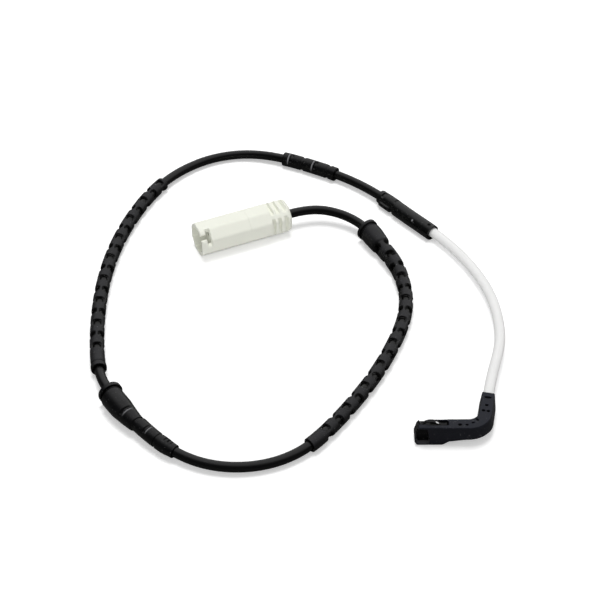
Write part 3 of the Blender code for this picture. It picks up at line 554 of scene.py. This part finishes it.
sleeve_rubber = rubber_finish("sleeve_rubber", *SLEEVE_BLACKS, 0.38, 0.36)
fitting_rubber = rubber_finish("fitting_rubber", *FITTING_BLACKS, 0.28, 0.38)
for name, node, start, profile, windows in (
        ("right_sleeve", "grommet_sleeve", GROMMET_SLEEVE_START, GROMMET_SLEEVE_PROFILE,
         GROMMET_SLEEVE_WINDOWS),
        ("left_sleeve", "long_sleeve", LONG_SLEEVE_START, LONG_SLEEVE_PROFILE, LONG_SLEEVE_WINDOWS)):
    distances, radii = soft_profile(profile, SLEEVE_ROW_STEP, EDGE_SOFTNESS)
    outer = tube_rows(start + distances, radii, SLEEVE_COLUMNS)
    inner = tube_rows(start + distances, BORE_DIAMETER / 2, SLEEVE_COLUMNS)
    depth = window_depth(distances, radii, SLEEVE_COLUMNS, windows)
    pierced_wall(name, outer, inner, depth, sleeve_rubber, [node])


# Short fittings
# The short grommet clips in a bracket by its collar, and the short sleeve takes another clip.
# Both are solid rubber, moulded with waists and cross slots.
FITTING_ROW_STEP = 0.00020
MARK_POWER = 4.0
# A raised mark shorter than this is a lip, and it gets a painted highlight
LIP_LENGTH = 0.0008
# The short grommet is measured from its flange, which is its last end along the route
SHORT_GROMMET_FLANGE = SHORT_GROMMET_START + SHORT_GROMMET_LENGTH
SHORT_GROMMET_PROFILE = [
    (0.0, 0.0076), (0.0, 0.0094), (0.0017, 0.0094), (0.0017, 0.0074), (0.0031, 0.0074), (0.0031, 0.0090),
    (0.0100, 0.0089), (0.0200, 0.0064), (0.0200, 0.0056), (0.0210, 0.0056), (0.0210, 0.0062),
    (0.0310, 0.0060), (0.0310, 0.0053), (0.0320, 0.0053), (0.0320, 0.0060), (0.0350, 0.0060),
    (0.0380, 0.0054), (SHORT_GROMMET_LENGTH, 0.0052), (SHORT_GROMMET_LENGTH, 0.0048)]
SHORT_SLEEVE_PROFILE = [
    (0.0, 0.0054), (0.0, 0.0062), (0.0088, 0.0062), (0.0091, 0.0055), (0.0101, 0.0055), (0.0104, 0.0062),
    (0.0216, 0.0062), (0.0219, 0.0055), (0.0229, 0.0055), (0.0232, 0.0062),
    (SHORT_SLEEVE_LENGTH, 0.0062), (SHORT_SLEEVE_LENGTH, 0.0054)]
# Slots and lips: distance, bearing, length along, width across, and height (below 0 is a slot)
SHORT_GROMMET_MARKS = [
    (0.0142, 78, 0.0012, 0.0056, -0.0006), (0.0259, 78, 0.0012, 0.0044, -0.0005),
    (0.0152, 82, 0.0004, 0.0038, 0.00025), (0.0269, 84, 0.0004, 0.0030, 0.0002),
    (0.0346, 112, 0.0006, 0.0028, -0.0005), (0.0361, 112, 0.0006, 0.0026, -0.0005),
    (0.0376, 112, 0.0006, 0.0024, -0.0004)]
SHORT_SLEEVE_MARKS = [
    (0.0029, 123, 0.0005, 0.0046, 0.00025), (0.0042, 118, 0.0016, 0.0046, -0.0007),
    (0.0149, 123, 0.0005, 0.0046, 0.00025), (0.0162, 118, 0.0016, 0.0046, -0.0008)]
# Where the grommet's body lies beside the cable's middle: distance and how far
SHORT_GROMMET_ASIDE = [(0.0018, 0.0), (0.0030, 0.0005), (0.0195, 0.0005), (0.0212, 0.0)]


def marked_radii(distances, radii, columns, marks):
    """Radius of every point of a round piece, its profile raised or sunk by its marks, and how far
    each point lies on a short raised lip, which gets a painted highlight."""
    field = np.repeat(radii[:, None], columns, axis=1)
    lips = np.zeros_like(field)
    for distance, bearing, along, across, height in marks:
        gap = bearing_gap(columns, bearing)
        patch = rounded_patch((distances - distance)[:, None], gap * radii[:, None], along, across,
                              EDGE_SOFTNESS, MARK_POWER)
        field = field + height * patch
        if height > 0 and along < LIP_LENGTH:
            lips = np.maximum(lips, patch)
    return field, lips


for name, node, start, direction, profile, marks, body_aside in (
        ("left_grommet", "short_grommet", SHORT_GROMMET_FLANGE, -1, SHORT_GROMMET_PROFILE,
         SHORT_GROMMET_MARKS, SHORT_GROMMET_ASIDE),
        ("clip_sleeve", "short_sleeve", SHORT_SLEEVE_START, 1, SHORT_SLEEVE_PROFILE,
         SHORT_SLEEVE_MARKS, [(0.0, 0.0)])):
    distances, radii = soft_profile(profile, FITTING_ROW_STEP, EDGE_SOFTNESS)
    marked = marked_radii(distances, radii, SLEEVE_COLUMNS, marks)
    field, lips = (grid[::direction] for grid in marked)
    stations = (start + direction * distances)[::direction]
    aside = np.interp(distances, *zip(*body_aside))[::direction]
    outer = tube_rows(stations, field, SLEEVE_COLUMNS, aside)
    inner = tube_rows(stations, BORE_DIAMETER / 2, SLEEVE_COLUMNS)
    pierced_wall(name, outer, inner, np.zeros(field.shape), fitting_rubber, [node],
                                 painted_highlight=lips)


# Splice
# A glossier moulding joins the cable to the lead. It has a slimmer slotted neck, a small lug
# low on its near side, and a round mouth that the lead comes out of.
SPLICE_MOUTH = 0.0051
SPLICE_MOUTH_DEPTH = 0.008
SPLICE_PROFILE = [
    (0.0, 0.0052), (0.0, 0.0060), (0.0104, 0.0062), (0.0106, 0.0068), (SPLICE_LENGTH, 0.0068),
    (SPLICE_LENGTH, 0.0060)]
SPLICE_MARKS = [
    (0.0028, 100, 0.0016, 0.0034, -0.0006), (0.0097, 75, 0.0010, 0.0036, -0.0005),
    (0.0055, 197, 0.0076, 0.0026, 0.0008), (0.0042, 190, 0.0010, 0.0010, -0.0007),
    (0.0066, 193, 0.0012, 0.0010, -0.0007), (0.0228, 140, 0.0007, 0.0008, 0.0003),
    (0.0305, 92, 0.0012, 0.0012, -0.0007)]
SPLICE_ASIDE = [(0.0100, 0.0), (0.0108, -0.0006), (SPLICE_LENGTH, -0.0006)]
# Dark and pale end: the pale end shows where the bloom and the painted top sheen are strongest
SPLICE_BLACKS = ((0.0008, 0.0008, 0.0008), (0.0026, 0.0030, 0.0032))

splice_finish = rubber_finish("splice_plastic", *SPLICE_BLACKS, 0.24, 0.45)
distances, radii = soft_profile(SPLICE_PROFILE, FITTING_ROW_STEP, EDGE_SOFTNESS)
field, lips = marked_radii(distances, radii, SLEEVE_COLUMNS, SPLICE_MARKS)
mouth = np.where(distances > SPLICE_LENGTH - SPLICE_MOUTH_DEPTH, SPLICE_MOUTH, BORE_DIAMETER) / 2
body_aside = np.interp(distances, *zip(*SPLICE_ASIDE))
splice = pierced_wall("splice_moulding",
                      tube_rows(SPLICE_START + distances, field, SLEEVE_COLUMNS, body_aside),
                      tube_rows(SPLICE_START + distances, mouth, SLEEVE_COLUMNS), np.zeros(field.shape),
                      splice_finish, ["splice_housing"], painted_highlight=lips)


# Connector
# A cream nylon plug housing with eight sides, in two halves that snap together. The mating half
# has a keyed slot and a window; the other holds the cable and has finger grips cut in it.
PLUG_LENGTH = 0.0412
PLUG_WIDTH = 0.0137
PLUG_CORNER = 0.0038
PLUG_EDGE_RADIUS = 0.0018
PLUG_END_ROUND = 0.0005
PLUG_BACK_ROUND = 0.0022
PLUG_WALL = 0.0014
PLUG_SEAM = 0.02215
SEAM_GAP = 0.00004
PLUG_SIDE_COLUMNS = 21
PLUG_CORNER_COLUMNS = 5
PLUG_SHARP_ANGLE = 50.0
PLUG_BORE_GAP = 0.0001
LEAST_EDGE_RADIUS = 0.0002
ROUNDING_ROWS = 6
BACK_TAPER = 0.7
# Rows across the key slot and window, and across the grips: first, last and step
KEY_ROWS = (0.0007, 0.0100, 0.00016)
GRIP_ROWS = (0.0313, 0.0389, 0.00015)
# Plain rows between: where they start or end, and how many
AFTER_KEY_ROWS = (0.0102, 24)
BEFORE_GRIP_ROWS = (0.0312, 14)
KEY_SLOT_WIDTH = 0.0024
KEY_SLOT_LENGTH = 0.0024
KEY_WINDOW_LENGTH = 0.0020
KEY_WINDOW_WIDTH = 0.0070
KEY_WINDOW_OFFSET = -0.0004
KEY_OFFSET = -0.0005
KEY_SLOPE = 0.0003
# How far the slot's cut reaches out past the mating end and on into the window
KEY_SLOT_REACH = (0.0025, 0.0005)
# The power that sets how square the corners of each cut are
KEY_SLOT_POWER = 12.0
KEY_WINDOW_POWER = 10.0
GRIP_POWER = 8.0
GRIP_STATIONS = (0.0327, 0.0354, 0.0383)
GRIP_WIDTH = 0.0015
GRIP_DEPTH = 0.0015
GRIP_SPAN = 0.0090


def rounded_outline(corners, radius, side_columns, corner_columns):
    """A convex outline with its corners rounded. Each arc's centre is the corner moved in by the
    radius along the sum of its two sides' normals over one plus their product; points at even
    steps join each arc to the next."""
    before = unit(corners - np.roll(corners, 1, axis=-2))
    after = unit(np.roll(corners, -1, axis=-2) - corners)
    normals = [np.stack((way[..., 1], -way[..., 0]), axis=-1) for way in (before, after)]
    product = (normals[0] * normals[1]).sum(axis=-1, keepdims=True)
    centres = corners - radius * (normals[0] + normals[1]) / (1 + product)
    share = np.linspace(0, 1, corner_columns)[:, None]
    turned = unit(normals[0][..., None, :] * (1 - share) + normals[1][..., None, :] * share)
    arcs = centres[..., None, :] + np.reshape(radius, np.shape(radius) + (1,)) * turned
    share = (np.arange(side_columns) + 1)[:, None] / (side_columns + 1)
    ends, starts = arcs[..., -1:, :], np.roll(arcs[..., :1, :], -1, axis=-3)
    outline = np.concatenate((arcs, ends + share * (starts - ends)), axis=-2)
    return outline.reshape(*outline.shape[:-3], -1, 2)


plug_up = np.array((0.0, 0.0, 1.0))
jacket_front = route_frame([-JACKET_IN_PLUG])[0][0]
plug_back = route_frame([0.0])[0][0]
plug_rearward = unit(plug_back - jacket_front)
plug_side = np.cross(plug_up, plug_rearward)
plug_front = plug_back - PLUG_LENGTH * plug_rearward
plug_half = PLUG_WIDTH / 2
plug_flat = plug_half - PLUG_CORNER
octagon = np.array([(plug_half, -plug_flat), (plug_half, plug_flat), (plug_flat, plug_half),
                    (-plug_flat, plug_half), (-plug_half, plug_flat), (-plug_half, -plug_flat),
                    (-plug_flat, -plug_half), (plug_flat, -plug_half)])


def plug_sections(insets):
    """The connector's outline once for each inset: the eight corners move in by that much."""
    insets = np.reshape(insets, (-1, 1, 1))
    scale = 1 - 2 * insets / PLUG_WIDTH
    radii = np.maximum(PLUG_EDGE_RADIUS - insets * 0.5, LEAST_EDGE_RADIUS)
    return rounded_outline(octagon * scale, radii, PLUG_SIDE_COLUMNS, PLUG_CORNER_COLUMNS)


def plug_rows(distances, sections):
    """Rings across the connector at distances from its mating end."""
    return (plug_front + np.reshape(distances, (-1, 1, 1)) * plug_rearward
            + sections[..., :1] * plug_side + sections[..., 1:] * plug_up)


def dress(finish, *nodes):
    """Give inner pieces, shown as they are in the CAD, their material."""
    for node in nodes:
        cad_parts[node].material_slots[0].material = finish.material


cream_finish = Finish("cream_plastic", Roughness=0.42, Specular_IOR_Level=0.4)
flow = cream_finish.noise(0.012)
cream_finish.set("Base Color", cream_finish.between(flow, (0.80, 0.81, 0.72), (0.84, 0.85, 0.765)))
cream_finish.raise_by(cream_finish.noise(0.0006, 3.0), 0.00002, 0.5)

turn = np.linspace(0, math.pi / 2, ROUNDING_ROWS)
distances = np.concatenate((PLUG_END_ROUND * (1 - np.cos(turn)), np.arange(*KEY_ROWS),
                            np.linspace(AFTER_KEY_ROWS[0], PLUG_SEAM, AFTER_KEY_ROWS[1])))
insets = np.concatenate((PLUG_END_ROUND * (1 - np.sin(turn)), np.zeros(len(distances) - len(turn))))
sections = plug_sections(insets)
key_height = (sections[..., 1] - sections[..., 0]) / math.sqrt(2)
key_across = (sections[..., 1] + sections[..., 0]) / math.sqrt(2) - KEY_OFFSET
places = distances[:, None]
slot_start, slot_end = -KEY_SLOT_REACH[0], KEY_SLOT_LENGTH + KEY_SLOT_REACH[1]
slot_depth = rounded_patch(places - (slot_start + slot_end) / 2, key_across, slot_end - slot_start,
                           KEY_SLOT_WIDTH, KEY_SLOPE, KEY_SLOT_POWER)
window = rounded_patch(places - KEY_SLOT_LENGTH - KEY_WINDOW_LENGTH / 2, key_across - KEY_WINDOW_OFFSET,
                       KEY_WINDOW_LENGTH, KEY_WINDOW_WIDTH, KEY_SLOPE, KEY_WINDOW_POWER)
depth = np.maximum(slot_depth, window) * (key_height > 0)
plug_shell = pierced_wall(
    "mating_half", plug_rows(distances, sections),
    plug_rows(distances, plug_sections(np.full(len(distances), PLUG_WALL))), depth, cream_finish,
    ["connector_shell"], PLUG_SHARP_ANGLE)

distances = np.concatenate((np.linspace(PLUG_SEAM + SEAM_GAP, *BEFORE_GRIP_ROWS), np.arange(*GRIP_ROWS),
                            PLUG_LENGTH - PLUG_BACK_ROUND * (1 - np.sin(turn))))
insets = np.concatenate((np.zeros(len(distances) - len(turn)),
                         BACK_TAPER * PLUG_BACK_ROUND * (1 - np.cos(turn))))
sections = plug_sections(insets)
for across, outward in ((0, 1), (1, 0)):
    for sign in (1, -1):
        height = sign * sections[..., outward]
        for station in GRIP_STATIONS:
            patch = rounded_patch(distances[:, None] - station, sections[..., across], GRIP_WIDTH,
                                  GRIP_SPAN, KEY_SLOPE, GRIP_POWER)
            sunk = np.clip(height - (plug_half - GRIP_DEPTH), 0, None) * patch
            sections[..., outward] -= sign * sunk
            height = sign * sections[..., outward]
angles = np.arctan2(sections[..., 1], sections[..., 0])
cable_bore = np.stack((np.cos(angles), np.sin(angles)), axis=-1) * (JACKET_DIAMETER / 2 + PLUG_BORE_GAP)
plug_housing = pierced_wall("cable_half", plug_rows(distances, sections), plug_rows(distances, cable_bore),
                            np.zeros(angles.shape), cream_finish, ["connector_strain_relief"],
                            PLUG_SHARP_ANGLE)
dress(cream_finish, "contact_carrier")

tinned_finish = Finish("tinned_brass", Metallic=1.0)
tarnish = tinned_finish.noise(0.0015, 3.0)
tinned_finish.set("Base Color", tinned_finish.between(tarnish, (0.62, 0.60, 0.54), (0.78, 0.76, 0.70)))
tinned_finish.set("Roughness", 0.25 + 0.2 * tarnish)
dress(tinned_finish, "terminal_1", "terminal_2", "splice_crimp_1", "splice_crimp_2", "wear_contact")
dress(wire_finish, "plug_core_1", "plug_core_2", "splice_core_1", "splice_core_2")


# Sensor head
# The part that sits in the brake pad: an L of heat-proof black plastic moulded round the ends
# of the wires. Its tip has a foot, a pocket over the contact loop and a seat for the clip.
HEAD_TOP = 0.0087
HEAD_ARM_BOTTOM = 0.0022
HEAD_TOP_WIDTH = 0.0047
HEAD_BOTTOM_WIDTH = 0.0059
HEAD_BEND_ANGLE = 78.4
HEAD_BEND_RADIUS = 0.0068
HEAD_ENTRY_ARM = 0.0162
HEAD_TIP_ARM = 0.02392
HEAD_EDGE = 0.0004
# How far the outer side flares out, and how far the underside arches up: distance, how far
HEAD_FLARE = [(0.0, 0.0002), (0.0030, 0.0006), (0.0130, 0.0006), (0.0220, 0.0)]
HEAD_ARCH = [(0.0, 0.0002), (0.0090, 0.0005), (0.0150, 0.0010), (0.0200, 0.0008), (0.0260, -0.0002)]
HEAD_ROW_STEP = 0.00014
# Rows that close the tip's front face, and how far the first and the last of them are inset
FACE_ROWS = 6
FACE_INSETS = (0.0001, 0.0022)
TIGHT_EDGE_INSET = 0.001
HEAD_SIDE_COLUMNS = 38
HEAD_CORNER_COLUMNS = 5
SOCKET_DIAMETER = 0.0044
SOCKET_DEPTH = 0.0020
# Places on the tip are given back from its top front edge, aside towards the outer side, and by
# height. The foot begins between two places and makes the tip a little wider.
FOOT_BACK = (0.0086, 0.0120)
FOOT_WIDENING = 0.00005
# How far the tip's front leans forward: height, how far
TIP_LEAN = [(0.0, -0.0002), (0.0006, 0.0005), (0.0019, 0.0013), (0.0032, 0.0013), (0.0080, 0.0003),
            (0.0087, 0.0)]
LEAN_REACH = 0.0060
TIP_EDGE_GAIN = 0.0003
FACE_EDGE_LOSS = 0.0002
CLIP_SLOT = (0.0040, 0.0109)
CLIP_SLOT_SIDES = (-0.00165, 0.00075)
CLIP_SLOT_FLOOR = 0.00745
TIP_STEP_BACK = 0.0045
TIP_STEP_SIDE = 0.00035
POCKET_MIDDLE = (0.0015, 0.0044)
POCKET_LENGTH = 0.0047
POCKET_HEIGHT = 0.0071
POCKET_FAR_SIDE = 0.0011
POCKET_LEAN = 0.15
POCKET_ROOF = 0.0005
POCKET_RIM_HIGHLIGHT = 0.3
# Slope of each kind of edge, and the power that sets how square its corners are
CLIP_SLOT_EDGE = (0.0002, 12.0)
DENT_EDGE = (0.0003, 2.5)
POCKET_EDGE = (0.00025, 6.0)
TIP_STEP_SLOPE = 0.0003
# Small dents in the top: distance from the entry, aside, length along and width across
HEAD_DENTS = [
    (0.0027, 0.0, 0.0009, 0.0024), (0.0067, 0.0, 0.0009, 0.0011), (0.0096, 0.0009, 0.0009, 0.0011),
    (0.0096, -0.0009, 0.0009, 0.0011), (0.0158, -0.0010, 0.0008, 0.0012), (0.0182, -0.0003, 0.0010, 0.0005),
    (0.0206, 0.0005, 0.0009, 0.0006), (0.0232, 0.0005, 0.0012, 0.0010)]
DENT_DEPTH = 0.0007
DENT_BAND = 0.0006
# Dark and pale end: the pale end shows where the bloom and the painted top sheen are strongest
HEAD_BLACKS = ((0.0052, 0.0056, 0.0092), (0.0085, 0.0098, 0.0160))

head_entry = np.array(LEAD_ROUTE[-2])
entry_forward = unit(np.array(LEAD_ROUTE[-1]) - head_entry)
entry_side = np.cross(plug_up, entry_forward)
bend = math.radians(HEAD_BEND_ANGLE)
bend_reach = HEAD_BEND_RADIUS * math.tan(bend / 2)
bend_start = HEAD_ENTRY_ARM - bend_reach
bend_end = bend_start + HEAD_BEND_RADIUS * bend
head_length = bend_end + HEAD_TIP_ARM - bend_reach
bend_centre = head_entry + bend_start * entry_forward - HEAD_BEND_RADIUS * entry_side


def head_place(along, aside, height):
    """A place given by its distance along the head's middle line from the entry, aside towards
    the outer side, and height. The line is straight, turns on one arc, and is straight again."""
    along, aside, height = np.broadcast_arrays(along, aside, height)
    angle = np.clip((along - bend_start) / HEAD_BEND_RADIUS, 0, bend)[..., None]
    side = np.cos(angle) * entry_side + np.sin(angle) * entry_forward
    forward = np.cos(angle) * entry_forward - np.sin(angle) * entry_side
    beyond = np.where(along < bend_start, along - bend_start, np.clip(along - bend_end, 0, None))
    place = bend_centre + (HEAD_BEND_RADIUS + aside[..., None]) * side + beyond[..., None] * forward
    return np.concatenate((place[..., :2], height[..., None]), axis=-1)


along = np.concatenate((HEAD_EDGE * (1 - np.cos(turn)),
                        np.arange(HEAD_EDGE, head_length, HEAD_ROW_STEP)[1:],
                        np.full(FACE_ROWS, head_length)))
rounding = np.concatenate((HEAD_EDGE * (1 - np.sin(turn)), np.zeros(len(along) - len(turn) - FACE_ROWS),
                           np.linspace(*FACE_INSETS, FACE_ROWS)))
back = head_length - along
foot = rise((FOOT_BACK[1] - back) / (FOOT_BACK[1] - FOOT_BACK[0]))
arch = np.interp(along, *zip(*HEAD_ARCH))
bottom = (HEAD_ARM_BOTTOM + arch) * (1 - foot) + rounding
top = HEAD_TOP - rounding
low_half = HEAD_BOTTOM_WIDTH / 2 + foot * FOOT_WIDENING - rounding
outer_half = low_half + np.interp(along, *zip(*HEAD_FLARE))
high_half = HEAD_TOP_WIDTH / 2 - rounding
corners = np.stack((np.stack((outer_half, bottom), axis=-1), np.stack((high_half, top), axis=-1),
                    np.stack((-high_half, top), axis=-1), np.stack((-low_half, bottom), axis=-1)), axis=1)
radius = HEAD_EDGE + TIP_EDGE_GAIN * foot - FACE_EDGE_LOSS * (rounding > TIGHT_EDGE_INSET)
outline = rounded_outline(corners, radius[:, None, None], HEAD_SIDE_COLUMNS, HEAD_CORNER_COLUMNS)
aside, height = outline[..., 0], outline[..., 1]
lean_heights, lean = np.array(TIP_LEAN).T
reach = along[:, None] + np.interp(height, lean_heights, lean) * rise(1 - back[:, None] / LEAN_REACH)
place_back = head_length - reach

on_top = height > HEAD_TOP - DENT_BAND
slot_middle, slot_length = sum(CLIP_SLOT) / 2, CLIP_SLOT[1] - CLIP_SLOT[0]
slot_aside, slot_width = sum(CLIP_SLOT_SIDES) / 2, CLIP_SLOT_SIDES[1] - CLIP_SLOT_SIDES[0]
clip_slot = rounded_patch(place_back - slot_middle, aside - slot_aside, slot_length, slot_width,
                          *CLIP_SLOT_EDGE)
tip_step = (rise(0.5 + (TIP_STEP_BACK - place_back) / TIP_STEP_SLOPE)
            * rise(0.5 + (TIP_STEP_SIDE - aside) / TIP_STEP_SLOPE))
sunk = np.maximum(clip_slot, tip_step) * np.clip(height - CLIP_SLOT_FLOOR, 0, None)
dents = np.zeros_like(height)
for distance, middle, length, width in HEAD_DENTS:
    dents = np.maximum(dents, rounded_patch(reach - distance, aside - middle, length, width, *DENT_EDGE))
height = height - sunk - dents * DENT_DEPTH * on_top
pocket_back, pocket_height = POCKET_MIDDLE
pocket = rounded_patch(place_back - pocket_back + POCKET_LEAN * (height - pocket_height),
                       height - pocket_height, POCKET_LENGTH, POCKET_HEIGHT, *POCKET_EDGE)
aside = aside - pocket * np.clip(aside - POCKET_FAR_SIDE, 0, None) * (height < HEAD_TOP - POCKET_ROOF)

middle_height = head_entry[2]
angles = np.arctan2(outline[:1, :, 1] - middle_height, outline[:1, :, 0])
socket_rows = [head_place(np.full(angles.shape, distance), SOCKET_DIAMETER / 2 * np.cos(angles),
                          middle_height + SOCKET_DIAMETER / 2 * np.sin(angles))
               for distance in (SOCKET_DEPTH, 0.0)]
head_finish = rubber_finish("head_plastic", *HEAD_BLACKS, 0.38, 0.28)
# Painted shade: the clip slot, the low step at the tip, the dents on top and the pocket are painted dark
painted_shade = np.max((clip_slot, tip_step * (aside < TIP_STEP_SIDE), dents * on_top, pocket), axis=0)
# A painted highlight along the pocket's rim
rim_highlight = 4 * pocket * (1 - pocket) * (aside > POCKET_FAR_SIDE)
# The socket's inside is painted shade throughout
socket_shade = np.ones(2 * outline.shape[1])
solid_rows("head_moulding", np.concatenate((*socket_rows, head_place(reach, aside, height))), head_finish,
           ["sensor_head"], painted_shade=np.concatenate((socket_shade, painted_shade.reshape(-1))),
           painted_highlight=np.concatenate((0 * socket_shade, POCKET_RIM_HIGHLIGHT * rim_highlight.reshape(-1))))


# Spring clip
# A strip of dark spring steel pressed into the slot on the tip. Its front end turns up to a
# tooth that grips the brake pad's plate.
CLIP_THICKNESS = 0.00035
CLIP_MIDDLE = -0.00065
# Back from the tip, height, and half width
CLIP_PATH = [
    (0.0105, 0.007925, 0.0007), (0.0082, 0.007925, 0.0007), (0.0060, 0.009175, 0.0007),
    (0.0044, 0.009425, 0.0007), (0.0028, 0.009025, 0.0007), (0.0014, 0.008125, 0.0007),
    (0.0005, 0.008175, 0.0007), (0.0, 0.009825, 0.0002)]
CLIP_STEP = 0.00012
CLIP_EDGE = 0.00008
CLIP_SIDE_COLUMNS = 4
CLIP_CORNER_COLUMNS = 3
# A painted glint on the spring's crown: back from the tip and aside, length and width, and slope
GLINT_PLACE = (0.0068, 0.0003)
GLINT_SIZE = (0.0011, 0.0007)
GLINT_SLOPE = 0.0002
STEEL_GREYS = ((0.012, 0.012, 0.013), (0.040, 0.040, 0.042))
GLINT_COLOUR = (0.85, 0.85, 0.86)

clip_line = natural_spline(CLIP_PATH, CLIP_STEP)
ways = unit(np.gradient(clip_line[:, :2], axis=0))
half_width = np.clip(clip_line[:, 2], CLIP_PATH[-1][2], CLIP_PATH[0][2])
half_thickness = np.full(len(clip_line), CLIP_THICKNESS / 2)
corners = np.stack([np.stack((sign_across * half_width, sign_up * half_thickness), axis=-1)
                    for sign_across, sign_up in ((1, -1), (1, 1), (-1, 1), (-1, -1))], axis=1)
strip = rounded_outline(corners, CLIP_EDGE, CLIP_SIDE_COLUMNS, CLIP_CORNER_COLUMNS)
clip_rows = head_place(head_length - clip_line[:, :1] - strip[..., 1] * ways[:, 1:],
                       CLIP_MIDDLE + strip[..., 0], clip_line[:, 1:2] - strip[..., 1] * ways[:, :1])
steel_finish = Finish("spring_steel", Metallic=1.0)
rolled = steel_finish.noise(0.0008, 3.0, (0.2, 1.0, 1.0))
steel_shade = steel_finish.between(rolled, *STEEL_GREYS)
# The glint is a painted highlight, pale on the spring's crown
steel_shade = steel_finish.between(steel_finish.share("painted_highlight"), steel_shade, GLINT_COLOUR)
steel_finish.set("Base Color", steel_shade)
steel_finish.set("Roughness", 0.22 + 0.2 * rolled)
glint = rounded_patch(clip_line[:, :1] - GLINT_PLACE[0], strip[..., 0] - GLINT_PLACE[1], *GLINT_SIZE,
                      GLINT_SLOPE)
solid_rows("clip_strip", clip_rows, steel_finish, ["spring_clip"],
           painted_highlight=glint.reshape(-1))


# Cable and lead at their real length
# The cable's points run from the splice back to the connector, and the lead's from the splice to
# the head; each runs the whole length of its route, as the photograph shows it from end to end.
# How many points each path has
CABLE_PATH_POINTS = 180
LEAD_PATH_POINTS = 60

cable_line = route_frame(np.linspace(jacket_end, -JACKET_IN_PLUG, CABLE_PATH_POINTS))[0]
lead_line = route_frame(np.linspace(route_end, LEAD_START, LEAD_PATH_POINTS))[0]
